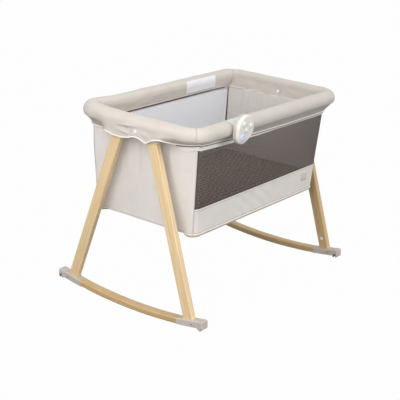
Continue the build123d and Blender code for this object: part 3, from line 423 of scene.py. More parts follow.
def quilting(name, main, shade, stitch):
    """Quilted jersey on the mattress: fine knit on Object coordinates, lint-soft mottling, and
    paler thread along the wavy quilting lines, 22 mm apart one way and 18 mm the other. The
    knit's 0.8 mm loops are drawn at 2 mm, and the thread at 2 mm, so that they show."""
    made, tree = blank(name)
    place = add(tree, "TexCoord").outputs["Object"]
    loops = add(tree, "TexVoronoi", {"Vector": place, "Scale": 500.0})
    mottle = add(tree, "TexNoise", {"Vector": place, "Scale": 30.0, "Detail": 4.0})
    ground = add(tree, "Mix", {0: mottle.outputs["Fac"], 6: colour(shade), 7: colour(main)},
                 data_type="RGBA")
    part = add(tree, "SeparateXYZ", {0: place})
    seams = []
    for along, across, pitch in (("X", "Y", QUILT_PITCH[0]), ("Y", "X", QUILT_PITCH[1])):
        wave = add(tree, "Math", {0: part.outputs[across], 1: 2 * np.pi / QUILT_WAVE},
                   operation="MULTIPLY")
        swing = add(tree, "Math", {0: wave.outputs[0]}, operation="SINE")
        moved = add(tree, "Math", {0: swing.outputs[0], 1: QUILT_SWAY, 2: part.outputs[along]},
                    operation="MULTIPLY_ADD")
        turn = add(tree, "Math", {0: moved.outputs[0], 1: np.pi / pitch}, operation="MULTIPLY")
        ridge = add(tree, "Math", {0: turn.outputs[0]}, operation="SINE")
        flat = add(tree, "Math", {0: ridge.outputs[0]}, operation="ABSOLUTE")
        seams.append(add(tree, "MapRange", {
            "Value": flat.outputs[0], "From Min": 0.12, "From Max": 0.30, "To Min": 1.0,
            "To Max": 0.0,
        }))
    seam = add(tree, "Math", {0: seams[0].outputs[0], 1: seams[1].outputs[0]}, operation="MAXIMUM")
    tone = add(tree, "Mix", {0: seam.outputs[0], 6: ground.outputs[2], 7: colour(stitch)},
               data_type="RGBA")
    rise = add(tree, "Bump", {
        "Strength": 0.4, "Distance": 0.0004, "Height": loops.outputs["Distance"],
    }, invert=True)
    shader = add(tree, "BsdfPrincipled", {
        "Base Color": tone.outputs[2], "Roughness": 0.92, "Normal": rise.outputs[0],
        "Specular IOR Level": 0.2, "Sheen Weight": 0.15,
    })
    add(tree, "OutputMaterial", {"Surface": shader.outputs[0]})
    return made


def foam(name, main, shade, cell=0.002):
    """Open-cell polyurethane foam or raw fibreboard: a matt ground pitted with small cells."""
    made, tree = blank(name)
    place = add(tree, "TexCoord").outputs["Object"]
    pits = add(tree, "TexVoronoi", {"Vector": place, "Scale": 1 / cell})
    tone = add(tree, "Mix", {0: pits.outputs["Distance"], 6: colour(shade), 7: colour(main)},
               data_type="RGBA")
    rise = add(tree, "Bump", {"Strength": 0.5, "Distance": 0.0005, "Height": pits.outputs["Distance"]})
    shader = add(tree, "BsdfPrincipled", {
        "Base Color": tone.outputs[2], "Roughness": 0.95, "Normal": rise.outputs[0],
    })
    add(tree, "OutputMaterial", {"Surface": shader.outputs[0]})
    return made


LEG_LEAN = np.radians(18.11)
PALE_BEECH = ("DFBF8A", "F1D9B2", "BE925E")
# The far legs' beech is the near legs' drawn darker: painted shade for the dimmer light at the far
# end.
FAR_BEECH_PAINTED_SHADE = ("CBA771", "DCBF93", "AD804C")
# The rockers' beech is drawn darker than the near legs'.
DARKER_ROCKER_BEECH = ("C4A16C", "D5B78D", "A77B49")
beech_near_front = beech("lacquered_pale_beech_front_leg", PALE_BEECH, -LEG_LEAN)
beech_near_back = beech("lacquered_pale_beech_back_leg", PALE_BEECH, LEG_LEAN)
beech_far_front = beech("lacquered_beech_far_front_leg_painted_shade", FAR_BEECH_PAINTED_SHADE, -LEG_LEAN)
beech_far_back = beech("lacquered_beech_far_back_leg_painted_shade", FAR_BEECH_PAINTED_SHADE, LEG_LEAN)
beech_rocker = beech("lacquered_darker_beech_rocker", DARKER_ROCKER_BEECH, 0.0, True)
taupe_abs = moulded("moulded_taupe_abs", "CDC4BC", "C4BAB2", 0.0012, 0.55, 0.00012)
hub_nylon = moulded("moulded_sand_nylon", "C4BAB0", "B9AFA5", 0.0012, 0.6)
acetal = moulded("moulded_white_acetal", "FBFBFA", "F3F3F2", 0.0030, 0.25, 0.00002, 0.3)
shell_abs = moulded("satin_pale_abs", "EFEDE4", "E6E4DA", 0.0022, 0.34, 0.00003, 0.15)
back_abs = moulded("satin_tan_abs", "CBC7B8", "C0BCAC", 0.0022, 0.38, 0.00003, 0.1)
strap_pc = moulded("frosted_strap_polycarbonate", "DFE6E4", "D2DBDA", 0.0030, 0.16, 0.00002, 0.6)
key_abs = moulded("satin_ivory_key_abs", "F2F2EA", "E9EAE0", 0.0022, 0.28, 0.00002, 0.3)
main_key_abs = moulded("satin_bluewhite_key_abs", "E6E9F8", "D7DCF2", 0.0022, 0.22, 0.00002, 0.4)
board_green = moulded("glass_epoxy_board", "2C6B45", "245C3A", 0.0020, 0.4)
speaker_black = moulded("moulded_black_speaker", "262524", "1D1C1B", 0.0020, 0.5)
cell_sleeve = moulded("printed_cell_sleeve", "4A4A50", "3C3C42", 0.0030, 0.3, 0.00002, 0.3)
zinc_steel = metal("zinc_plated_steel", "B9BBBD", "9DA0A3", 0.32)
coated_steel = metal("powder_coated_steel", "8F9192", "828485", 0.5, 0.0010, 0.0)
white_foam = foam("polyurethane_foam", "E9E6DC", "D4D0C4")
raw_board = foam("raw_fibreboard", "BFA27A", "A5875F", 0.003)
cover_cloth = woven("woven_cream_polyester", "D4CDC5", "CEC6BD")
wall_cloth = woven("woven_light_cream_polyester", "E9E4E0", "E1DCD6", 0.0016, 0.0002)
base_cloth = woven("woven_base_polyester", "D5CABB", "CCC0B0", 0.0018)
piping_cloth = woven("bias_cut_offwhite_piping", "F8F4EE", "F1ECE5", 0.0012, 0.0001)
# Brown for the window tapes, and for the cord under the hem that paints the shadow there
brown_tape_and_shadow_cord = woven("woven_brown_tape_and_painted_shadow", "6A564F", "574640", 0.0014, 0.0003, 0.2)
seam_thread = woven("spun_tan_seam_thread", "C2B8AC", "B5AA9D", 0.0012, 0.0001)
patch_cloth = woven("satin_woven_label_blank", "F1F1F4", "E8E8EC", 0.0012, 0.0001, 0.3)
tab_cloth = woven("woven_tan_tab_blank", "E0D5C2", "D6CAB5", 0.0012, 0.0002)
net_near_side = net("knitted_taupe_net", "64564F", "574A46", 0.145)
net_outside = net("knitted_taupe_net_outside", "554A48", "4A403E", 0.115)
# The back window's inner face is the same net drawn pale lavender-white: painted light, for the net
# seen lit against the white beyond. Its outer face keeps the net's dark taupe.
net_inside_painted_light = net("knitted_net_inside_painted_light", "F4F4FC", "ECECF6", 0.115)
WINDOW_NETS = {"front": [net_near_side, net_near_side], "back": [net_outside, net_inside_painted_light]}
quilt_jersey = quilting("quilted_taupe_jersey", "7C706A", "6C605B", "CEC6BD")

PAINTS = {
    "leg_near_front": beech_near_front, "leg_far_front": beech_far_front,
    "leg_near_back": beech_near_back, "leg_far_back": beech_far_back,
    "rocker_near": beech_rocker, "rocker_far": beech_rocker,
    "snap_caps": acetal, "soother_front": shell_abs, "soother_back": back_abs,
    "soother_hook": strap_pc, "soother_battery_door": shell_abs,
    "soother_batteries": cell_sleeve, "soother_circuit_board": board_green,
    "soother_speaker": speaker_black, "base_board": raw_board, "mattress_core": white_foam,
    "base_frame": coated_steel,
}
PAINTS_BY_START = (
    ("rocker_cap", taupe_abs), ("stop_foot_pins", zinc_steel), ("stop_foot", taupe_abs),
    ("hub_screws", zinc_steel), ("hub", hub_nylon), ("leg_foot_screws", acetal),
    ("leg_top_screws", zinc_steel),
    ("rail_end_tube", coated_steel), ("rail_side_tube", coated_steel), ("rail_joint", zinc_steel),
    ("rail_foam", white_foam), ("soother_screws", zinc_steel), ("soother", key_abs),
)
for node_name, node_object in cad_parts.items():
    paint = PAINTS.get(node_name)
    if paint is None:
        paint = next((p for start, p in PAINTS_BY_START if node_name.startswith(start)), wall_cloth)
    node_object.data.materials.clear()
    node_object.data.materials.append(paint)


# Meshes

def surface(name, points, paints, body=FRAME_BODY, wrap_rows=False, wrap_columns=False, weld=False):
    """A piece from a rows by columns array of points, faces between neighbours, with a map in
    metres: length along the middle row, and length down the middle column."""
    rows, columns = points.shape[:2]
    index = np.arange(rows * columns).reshape(rows, columns)
    closed = points
    if wrap_columns:
        index = np.concatenate([index, index[:, :1]], axis=1)
        closed = np.concatenate([closed, closed[:, :1]], axis=1)
    if wrap_rows:
        index = np.concatenate([index, index[:1]], axis=0)
        closed = np.concatenate([closed, closed[:1]], axis=0)
    corners = np.stack([index[:-1, :-1], index[1:, :-1], index[1:, 1:], index[:-1, 1:]], axis=-1)
    mesh = bpy.data.meshes.new(name)
    mesh.from_pydata(points.reshape(-1, 3).tolist(), [], corners.reshape(-1, 4).tolist())
    steps_along = np.linalg.norm(np.diff(closed[closed.shape[0] // 2], axis=0), axis=1)
    steps_down = np.linalg.norm(np.diff(closed[:, closed.shape[1] // 2], axis=0), axis=1)
    along = np.concatenate([[0], np.cumsum(steps_along)])
    down = np.concatenate([[0], np.cumsum(steps_down)])
    flat = np.stack(np.meshgrid(along, down), axis=-1)
    quads = np.stack([flat[:-1, :-1], flat[1:, :-1], flat[1:, 1:], flat[:-1, 1:]], axis=2)
    mesh.uv_layers.new(name="cloth").data.foreach_set("uv", quads.reshape(-1))
    mesh.polygons.foreach_set("use_smooth", np.ones(len(mesh.polygons), bool))
    for paint in paints:
        mesh.materials.append(paint)
    mesh.update()
    if weld:
        merge_doubles(mesh, 1e-6)
    piece = bpy.data.objects.new(name, mesh)
    bpy.context.scene.collection.objects.link(piece)
    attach(piece, body)
    return piece


def merge_doubles(mesh, reach):
    """Join a mesh's points that lie within reach of each other."""
    shell = bmesh.new()
    shell.from_mesh(mesh)
    bmesh.ops.remove_doubles(shell, verts=shell.verts, dist=reach)
    shell.to_mesh(mesh)
    shell.free()


def subdivide(piece):
    """One level of subdivision, in the view and in the render."""
    smooth = piece.modifiers.new("smooth", "SUBSURF")
    smooth.levels = smooth.render_levels = 1


def cloth(name, points, paints, slot, thickness, held, holder, node=None, smooth=False, wrap=False):
    """A sheet of cloth from a grid: its thickness inwards, where a second paint is its inner
    face, its slot, which is not used, the CAD node that it stands for, and what it rests on, which is
    not used."""
    piece = surface(name, points, paints, wrap_columns=wrap)
    wall = piece.modifiers.new("thickness", "SOLIDIFY")
    wall.thickness = thickness
    wall.offset = -1
    wall.material_offset = len(paints) - 1
    if smooth:
        subdivide(piece)
    if node:
        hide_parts(node)


def tube(name, path, radius, paint, node=None, sides=10, closed=True, up=(0, 0, 1)):
    """A round piping or seam along a path: circles on the normal and the upright at each point."""
    ahead = np.roll(path, -1, axis=0) - np.roll(path, 1, axis=0)
    if not closed:
        ahead[0], ahead[-1] = path[1] - path[0], path[-1] - path[-2]
    ahead /= np.linalg.norm(ahead, axis=1, keepdims=True)
    side = np.cross(ahead, up)
    side /= np.linalg.norm(side, axis=1, keepdims=True)
    lift = np.cross(side, ahead)
    turn = np.linspace(0, 2 * np.pi, sides, endpoint=False)[:, None, None]
    rings = path + radius * (np.cos(turn) * side + np.sin(turn) * lift)
    piece = surface(name, rings, [paint], wrap_rows=True, wrap_columns=closed)
    if node:
        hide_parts(node)


# Shapes

def side_axis(facing):
    """The coordinate that runs along a side, and its sign, so that it grows anticlockwise."""
    return (1 if facing % 180 == 0 else 0), {180: -1, 0: 1, -90: 1, 90: -1}[facing]


def stations(facing, straight, corner):
    """Places along one side of a loop, from corner seam to corner seam: the shares of the corner
    centre in x and y, and the angle faced. The angle turns at both ends and rests between."""
    start, middle, end = np.radians((facing - 45, facing, facing + 45))
    angle = np.concatenate([
        np.linspace(start, middle, corner + 1)[:-1], np.full(straight, middle),
        np.linspace(middle, end, corner + 1)[1:],
    ])
    walk = np.concatenate([np.zeros(corner), np.linspace(0, 1, straight), np.ones(corner)])
    first = np.sign(np.round((np.cos(start), np.sin(start)), 6))
    last = np.sign(np.round((np.cos(end), np.sin(end)), 6))
    centre = first + (last - first) * walk[:, None]
    return centre, angle


def loop(where, half_x, half_y, corner, height):
    """Rounded rectangles row by row: corner centre times its share, plus the corner radius times
    the cosine and sine of the angle faced. Sizes are per row, heights per row or per point."""
    centre, angle = where
    x = centre[:, 0] * (half_x - corner) + corner * np.cos(angle)
    y = centre[:, 1] * (half_y - corner) + corner * np.sin(angle)
    return np.stack(np.broadcast_arrays(x, y, height), axis=-1)


def outward(points):
    """Unit normals of a grid: the cross product of its steps down the rows and along them."""
    down, along = np.gradient(points, axis=0), np.gradient(points, axis=1)
    normal = np.cross(down, along)
    return normal / np.maximum(np.linalg.norm(normal, axis=-1, keepdims=True), 1e-12)


def outset(path, out, up):
    """A closed path moved outwards, along its tangent turned a quarter to the right, and up."""
    ahead = np.roll(path, -1, axis=0) - np.roll(path, 1, axis=0)
    away = np.stack([ahead[:, 1], -ahead[:, 0], np.zeros(len(path))], axis=1)
    return path + out * away / np.linalg.norm(away, axis=1, keepdims=True) + (0, 0, up)


def ease(value, start, end):
    """Smooth step: 3t squared less 2t cubed between start and end."""
    t = np.clip((value - start) / (end - start), 0, 1)
    return t * t * (3 - 2 * t)


def even(points, count):
    """A polyline's points spaced evenly by length."""
    length = np.concatenate([[0], np.cumsum(np.linalg.norm(np.diff(points, axis=0), axis=1))])
    wanted = np.linspace(0, length[-1], count)
    return np.stack([np.interp(wanted, length, points[:, i]) for i in (0, 1)], axis=1)


def corner_pull(points):
    """The near back corner stands further out and up than the others: each point moves away from
    the middle, equally in x and y, and up, by a bell round the corner times an arch over the
    height. Over the rail only its outer half moves outwards."""
    x, y, z = points[..., 0], points[..., 1], points[..., 2]
    bell = np.exp(-((np.hypot(x + HEAD_HALF[0], y - HEAD_HALF[1]) / PULL_REACH) ** 2))
    turn = RAIL_CORNER - RAIL_HALF[0], RAIL_HALF[1] - RAIL_CORNER
    outer = ease(np.hypot(x - turn[0], y - turn[1]), *PULL_RAIL_OUT)
    move = np.interp(z, *CORNER_OUT) * bell * (1 - (1 - outer) * ease(z, *PULL_RAIL_Z))
    return points + np.stack([-move, move, np.interp(z, *CORNER_UP) * bell], axis=-1)


def roll_section(kind, over_hub):
    """Section of the cover as (out, height) points: up the inner flap, round the roll, down to
    the skirt's top. Over a hub it leaves the roll on a tangent and rounds the hub's brow. The
    inner half is a superellipse, fuller than a circle, because the cloth is drawn over foam."""
    flap = np.linspace((FLAP_OUT[kind], FLAP_Z), (-ROLL, RAIL_Z), FLAP_ROWS + 1)[:-1]
    if over_hub:
        brow_out, brow_z, brow = HUB_BROW
        first, second = np.linspace(np.pi, HUB_LEAVE, 90), np.linspace(HUB_LEAVE, 0, 30)
        ring = np.concatenate([
            np.stack([ROLL * np.cos(first), RAIL_Z + ROLL * np.sin(first)], axis=1),
            np.stack([brow_out + brow * np.cos(second), brow_z + brow * np.sin(second)], axis=1),
            [(brow_out + brow, SKIRT_Z)],
        ])
    else:
        turn = np.linspace(np.pi, np.arcsin((SKIRT_Z - RAIL_Z) / ROLL), 120)
        ring = np.stack([ROLL * np.cos(turn), RAIL_Z + ROLL * np.sin(turn)], axis=1)
    inner = ring[:, 0] < 0
    ring[inner, 0] = -ROLL * (-ring[inner, 0] / ROLL) ** FULLNESS
    ring[inner, 1] = RAIL_Z + ROLL * ((ring[inner, 1] - RAIL_Z) / ROLL).clip(0) ** FULLNESS
    return np.concatenate([flap, even(ring, ROLL_ROWS)])


def cover_points(facing, hem, flap, folds, straight):
    """The cover of one side as a grid: rows go from the inner flap over the roll to the hem, and
    the hub's section is mixed in near the middle of an end. Folds are bells laid on it."""
    kind = "end" if facing % 180 == 0 else "side"
    across, sign = side_axis(facing)
    where = stations(facing, straight, COVER_CORNER_COLUMNS)
    share = np.linspace(0, 1, SKIRT_ROWS + 1)[1:]
    plain, hub = roll_section(kind, False), roll_section(kind, True)
    base = len(plain)
    roll_foot = plain[-1, 0]
    bow = SKIRT_BOW * np.sin(np.pi * share)
    out_x, out_y = [
        np.concatenate([
            roll_section(k, False)[:, 0], roll_foot + (HEM_OUT[k] - roll_foot) * share - bow,
        ])[:, None]
        for k in ("end", "side")
    ]
    flap_corner = np.interp(np.arange(base), (0, FLAP_ROWS), (FLAP_CORNER, RAIL_CORNER - ROLL))
    corner = np.concatenate([
        np.where(np.arange(base) < FLAP_ROWS, flap_corner, RAIL_CORNER + plain[:, 0]),
        RAIL_CORNER + roll_foot + (HEM_CORNER - RAIL_CORNER - roll_foot) * share,
    ])[:, None]
    half_x, half_y = RAIL_HALF[0] + out_x, RAIL_HALF[1] + out_y
    height = np.concatenate([plain[:, 1], np.full(SKIRT_ROWS, SKIRT_Z)])[:, None]
    flat = loop(where, half_x, half_y, corner, height)
    place = flat[..., across] * sign
    tops = np.broadcast_to(height, place.shape)
    if kind == "end":
        weight = 1 - ease(np.abs(place), *HUB_HALF)
        skirt = np.full((SKIRT_ROWS, 2), (hub[-1, 0] + HUB_SKIRT_OUT, SKIRT_Z))
        hub_out, hub_z = np.concatenate([hub, skirt]).T[:, :, None]
        mixed = RAIL_HALF[0] + out_x * (1 - weight) + hub_out * weight
        flat[..., 0] += (mixed - half_x) * sign * (np.abs(where[0][:, 0]) == 1)
        tops = height * (1 - weight) + hub_z * weight

    # The hem's line, read by the share of the way from the side's middle to its corner seam
    steps = np.linalg.norm(np.diff(flat[base - 1], axis=0), axis=1)
    along = np.concatenate([[0], np.cumsum(steps)])
    along = along - np.interp((len(along) - 1) / 2, np.arange(len(along)), along)
    hem_z = np.interp(along / along[-1] * hem[-1][0], *np.array(hem).T)
    drop = np.concatenate([np.zeros(base), share])[:, None]
    flat[..., 2] = tops + (hem_z - SKIRT_Z) * drop
    lift = np.clip(1 - np.arange(len(flat)) / FLAP_ROWS, 0, 1)[:, None]
    flat[..., 2] += (np.interp(place, *np.transpose(flap)) - FLAP_Z) * lift

    # Folds on the outer or the inner face, a slight ripple all over, a dip at the corner seams
    rows = np.arange(len(flat))[:, None]
    outside = ease(rows, *(base - ROLL_ROWS * back for back in ROLL_CROWN))
    inside = 1 - outside
    rise = np.zeros(flat.shape[:2])
    for face, at, height_at, turn, long, wide, high in folds:
        a, h = place - at, flat[..., 2] - height_at
        c, s = np.cos(np.radians(turn)), np.sin(np.radians(turn))
        bell = np.exp(-(((a * c + h * s) / long) ** 2) - ((-a * s + h * c) / wide) ** 2)
        rise += high * bell * (outside if face == "out" else inside)
    ripple = (1 + np.sin(place * 61 + flat[..., 2] * 170)) * (1 + np.sin(place * 23 - 1.3)) / 2
    rise += COVER_RIPPLE * ripple
    edge = np.minimum(np.arange(len(along)), np.arange(len(along))[::-1])
    rise -= SEAM_DIP * np.exp(-((edge / SEAM_DIP_COLUMNS) ** 2))
    return corner_pull(flat + outward(flat) * rise[..., None])


# Rail covers: node, the way it faces, hem, folds, columns, and what carries the cloth
COVERS = {
    "near": ("rail_cuff_near", 180, HEM_NEAR, FOLDS_NEAR, 176, "rail_end_tube_near"),
    "front": ("rail_cover_front", -90, HEM_FRONT, FOLDS_FRONT, 170, "rail_foam_front"),
    "far": ("rail_cuff_far", 0, HEM_FAR, FOLDS_FAR, 176, "rail_end_tube_far"),
    "back": ("rail_cover_back", 90, HEM_BACK, FOLDS_BACK, 170, "rail_foam_back"),
}
grids, hem_lines = {}, {}
for side, (node, facing, hem, folds, straight, holder) in COVERS.items():
    grids[side] = points = cover_points(facing, hem, FLAP_EDGE[side], folds, straight)
    across, sign = side_axis(facing)
    hem_lines[side] = np.stack([points[-1, :, across] * sign, points[-1, :, 2]], axis=1)
    cloth(node + "_cloth", points, [cover_cloth], "cover_cloth", COVER_THICK, "stretched", holder,
          node, smooth=True)

# Blank patch inside the back cover: its lower edge, the rows that it may reach, and its ends
PATCH_FOOT_Z = 0.6140
PATCH_LAST_ROW = FLAP_ROWS + 8
PATCH_X = (0.100, 0.292)
MIDDLE_COLUMN = 100
points = grids["back"]
rows = np.flatnonzero(points[:PATCH_LAST_ROW, MIDDLE_COLUMN, 2] > PATCH_FOOT_Z)
columns = np.flatnonzero((points[0, :, 0] > PATCH_X[0]) & (points[0, :, 0] < PATCH_X[1]))
patch = (points + outward(points) * PROUD["patch"])[rows[0]:rows[-1] + 1, columns[0]:columns[-1] + 1]
cloth("rail_patch_blank", patch, [patch_cloth], "piping_cloth", TRIM_THICK["patch"], "laid",
      "rail_cover_back_cloth")

# Pipings on the hem and the flap's edge, and along each side a brown cord behind the hem that paints
# the shadow under the hem piping: how far out and up from the hem's line each lies, and where the
# back cord ends before the near end
HEM_PIPING_AT = (0.0012, -0.0006)
HEM_SHADOW_AT = (-0.0014, -0.0052)
BACK_HEM_SHADOW_END = 0.386
hem_path = np.concatenate([points[-1, :-1] for points in grids.values()])
flap_path = np.concatenate([points[0, :-1] for points in grids.values()])
tube("hem_piping_cloth", outset(hem_path, *HEM_PIPING_AT), HEM_PIPING, piping_cloth,
     "hem_piping")
tube("flap_seam_cloth", flap_path, EDGE_PIPING, cover_cloth)
# The brown cord is painted shadow: the dark line under the hem piping, drawn as a cord.
hem_shadow_path = np.roll(outset(hem_path, *HEM_SHADOW_AT), -(grids["near"].shape[1] - 1) // 2, axis=0)
for side, sign, end in (("front", -1, HUB_FACE_X), ("back", 1, BACK_HEM_SHADOW_END)):
    inside = (hem_shadow_path[:, 0] > -end) & (hem_shadow_path[:, 0] < HUB_FACE_X)
    tube(f"hem_painted_shadow_cord_{side}", hem_shadow_path[inside & (hem_shadow_path[:, 1] * sign > 0)], HEM_SHADOW_CORD,
         brown_tape_and_shadow_cord, closed=False)


# Basket walls

def levels(table, place):
    """Heights along a side, read off a table of places and heights, or one height all along."""
    return np.interp(place, *np.transpose(table)) if np.ndim(table) else table


def wall_points(facing, grid, low, high, push=None, grow=0.0):
    """Outer face of one wall as a grid from its top down: rounded rectangles that shrink evenly
    towards the piping, their corners rounder towards it, pushed along the normal by `push` of
    (place, height)."""
    straight, rows = grid
    where = stations(facing, straight, WALL_CORNER_COLUMNS)
    across, sign = side_axis(facing)
    place = loop(where, *HEAD_HALF, WALL_CORNERS[1], WALL_HEAD)[:, across] * sign
    top, foot = levels(high, place), levels(low, place)
    height = top + (foot - top) * np.linspace(0, 1, rows)[:, None]
    share = (height - WALL_FOOT) / (WALL_HEAD - WALL_FOOT)
    half_x, half_y, corner = [
        at_foot + (at_head - at_foot) * share + grow
        for at_foot, at_head in zip((*FOOT_HALF, WALL_CORNERS[0]), (*HEAD_HALF, WALL_CORNERS[1]))
    ]
    flat = loop(where, half_x, half_y, corner, height)
    if push is not None:
        flat = flat + outward(flat) * push(flat[..., across] * sign, flat[..., 2])[..., None]
    return corner_pull(flat)


def gathers(place, height, bells):
    """Bells across a panel that lean with height: each is a place, lean, half width and depth."""
    return sum(
        depth * np.exp(-(((place - at - lean * (GATHER_Z - height)) / wide) ** 2))
        for at, lean, wide, depth in bells
    )


def waves(place, height, rise, along, start, up):
    """Slow waves: a sine along the side times a sine up the wall from its piping."""
    return rise * np.sin(place * along + start) * np.sin((height - WALL_FOOT) * up)


def near_push(place, height):
    """Gathers in the near panel: four bells pulled inwards from 400 mm up, and slow waves."""
    pull = ease(height, 0.400, 0.520) * gathers(place, height, GATHERS_NEAR)
    return -pull + waves(place, height, 0.0010, 19, 0.7, 9.5) - 0.0008


def far_push(place, height):
    """The far panel, seen from inside: two deep folds by its back corner and softer ones beyond."""
    pull = ease(height, 0.340, 0.560) * gathers(place, height, GATHERS_FAR)
    return -pull + waves(place, height, 0.0012, 23, 0.2, 9.5) - 0.0008


def band_push(place, height):
    """A slack band: long shallow waves and a few short leaning folds."""
    lean = place * 97 + (height - 0.34) * 140
    folds = 0.0006 * np.sin(lean) * ease(np.sin(place * 11 + 2.0), -0.2, 0.9)
    return waves(place, height, 0.0009, 24, 0.5, 34) + folds - 0.0003


def net_push(place, height):
    """A window drawn taut: pulled in towards its middle, with faint lines from its corners."""
    along = np.cos(np.clip(place / 0.37, -1, 1) * np.pi / 2)
    up = np.sin(np.clip((height - BAND_TOP) / NET_HEIGHT, 0, 1) * np.pi)
    lines = 0.0006 * np.sin(place * 70 + height * 25) * ease(np.abs(place), 0.15, 0.34)
    return -0.0030 * along * up + lines


def facing_push(place, height):
    """Slight puckers along a stitched edge, one every 12 mm."""
    return 0.0004 * np.sin(place * 2 * np.pi / 0.012)


for side, facing, push in (("near", 180, near_push), ("far", 0, far_push)):
    panel = wall_points(facing, PANEL_GRID, WALL_FOOT, WALL_HEAD, push)
    cloth(f"end_panel_{side}_cloth", panel, [wall_cloth], "wall_cloth", WALL_THICK, "hung",
          f"rail_cuff_{side}_cloth", f"end_panel_{side}")

# Windows over their bands, with a sill on the seam and tapes round the other edges: the net's
# lap behind the band, the sill's reach below and above the seam, and the tapes' places
NET_LAP = 0.001
SILL_REACH = (-0.0035, 0.0025)
HEAD_TAPE_Z = (0.6055, 0.6140)
SIDE_TAPE_FOOT_Z = 0.384
SIDE_TAPE_X = 0.3808
for side, facing in (("front", -90), ("back", 90)):
    net_name = f"mesh_window_{side}_net"
    band = wall_points(facing, BAND_GRID, WALL_FOOT, BAND_TOP, band_push)
    cloth(f"side_band_{side}_cloth", band, [wall_cloth], "wall_cloth", WALL_THICK, "stretched",
          net_name, f"side_band_{side}")
    window = wall_points(facing, NET_GRID, BAND_TOP - NET_LAP, WALL_HEAD, net_push, PROUD["net"])
    cloth(net_name, window, WINDOW_NETS[side], "mesh_cloth", NET_THICK, "stretched",
          f"rail_cover_{side}_cloth", f"mesh_window_{side}")
    sill = wall_points(facing, TAPE_GRID, *np.add(BAND_TOP, SILL_REACH), grow=PROUD["sill"])
    cloth(f"window_sill_{side}", sill, [wall_cloth], "wall_cloth", TRIM_THICK["sill"],
          "stretched", net_name)
    head = wall_points(facing, TAPE_GRID, *HEAD_TAPE_Z, grow=PROUD["head_tape"])[:, ::-1]
    cloth(f"window_head_tape_{side}", head, [brown_tape_and_shadow_cord], "mesh_cloth", TRIM_THICK["tape"],
          "stretched", net_name)
    upright = wall_points(facing, SIDE_TAPE_GRID, SIDE_TAPE_FOOT_Z, WALL_HEAD,
                          grow=PROUD["side_tape"])
    for end, sign in (("near", -1), ("far", 1)):
        column = np.flatnonzero(upright[0, :, 0] * sign > SIDE_TAPE_X)
        strip = upright[:, column[0]:column[-1] + 1][:, ::-1]
        cloth(f"window_side_tape_{side}_{end}", strip, [brown_tape_and_shadow_cord], "mesh_cloth",
              TRIM_THICK["tape"], "stretched", net_name)

# Facings under the hem, with their edge piping, the seams up the corners, and the blank tab on
# the front band: the facing's lap behind the hem, and the places of seams, of the stitching whose
# dark line also paints the shadow above the bottom piping, and of the tab
FACING_LAP = 0.005
CORNER_SEAM_Z = (0.302, 0.606)
STITCH_Z = (0.3055, 0.3065)
TAB_X = (0.281, 0.321)
TAB_ROWS = slice(3, 9)
facing_edges = []
for side, (node, facing, *_) in COVERS.items():
    line = hem_lines[side]
    edge = np.stack([line[:, 0], line[:, 1] - levels(FACING_DROP[side], line[:, 0])], axis=1)
    strip = wall_points(facing, FACING_GRID, edge, line + (0, FACING_LAP), facing_push,
                        PROUD["facing"])
    cloth(f"hem_facing_{side}", strip, [piping_cloth], "wall_cloth", TRIM_THICK["facing"],
          "stretched", node + "_cloth")
    facing_edges.append(strip[-1, :-1])
    seam = wall_points(facing, SEAM_GRID, *CORNER_SEAM_Z, grow=PROUD["seam"])[:, 0]
    tube(f"corner_seam_{side}", seam, SEAM, seam_thread, closed=False,
         up=(1, 0, 0), sides=6)
    if side == "front":
        band = wall_points(facing, BAND_GRID, WALL_FOOT, BAND_TOP, band_push, PROUD["tab"])
        column = np.flatnonzero((band[0, :, 0] > TAB_X[0]) & (band[0, :, 0] < TAB_X[1]))
        tab = band[TAB_ROWS, column[0]:column[-1] + 1]
        cloth("band_tab_blank", tab, [tab_cloth], "wall_cloth", TRIM_THICK["tab"], "laid",
              "side_band_front_cloth")
tube("facing_piping_cloth", np.concatenate(facing_edges), EDGE_PIPING, piping_cloth)
# Tan stitching above the bottom piping; its dark line also paints the shadow there.
stitch_shadow_line = np.concatenate([
    wall_points(facing, STITCH_GRID, *STITCH_Z, grow=PROUD["stitch_shadow_line"])[-1, :-1]
    for facing in (180, -90, 0, 90)
])
tube("band_stitching_painted_shadow", stitch_shadow_line, SEAM, seam_thread, sides=6)


# Base

# The base's rounded rectangles, from the piping in under the floor: half sizes, corner, height
BASE_SIZES = (
    (0.3758, 0.2108, 0.035, 0.2998), (0.3756, 0.2106, 0.034, 0.2965),
    (0.3750, 0.2100, 0.032, 0.2930), (0.3728, 0.2080, 0.029, 0.2903),
    (0.3620, 0.2000, 0.024, 0.2893), (0.3300, 0.1720, 0.018, 0.2892),
    (0.2600, 0.1020, 0.018, 0.2891), (0.1800, 0.0220, 0.010, 0.2891),
    (0.1581, 0.0001, 0.0001, 0.2891),
)
BASE_THICK = 0.0018
RIM = (0.3766, 0.2116, 0.0345, 0.300)

# How high, how nearly and how far in the base is drawn up at an end, and where that fades out
TUCK_Z, TUCK_SHARE, TUCK_IN = 0.3045, 0.78, 0.0024
TUCK_Y = (0.150, 0.188)
TUCK_X = (0.355, 0.368)


def tucked(points):
    """The base at each end drawn up behind the panel's lower edge: z moves towards the tuck's
    height and x inwards, by a smooth step, full in the middle of the end and none by its
    corners."""
    x, y, z = points[..., 0], points[..., 1], points[..., 2]
    share = (1 - ease(np.abs(y), *TUCK_Y)) * ease(np.abs(x), *TUCK_X)
    inwards = x - np.sign(x) * TUCK_IN * share
    upwards = z + (TUCK_Z - z) * TUCK_SHARE * share
    return corner_pull(np.stack([inwards, y, upwards], axis=-1))


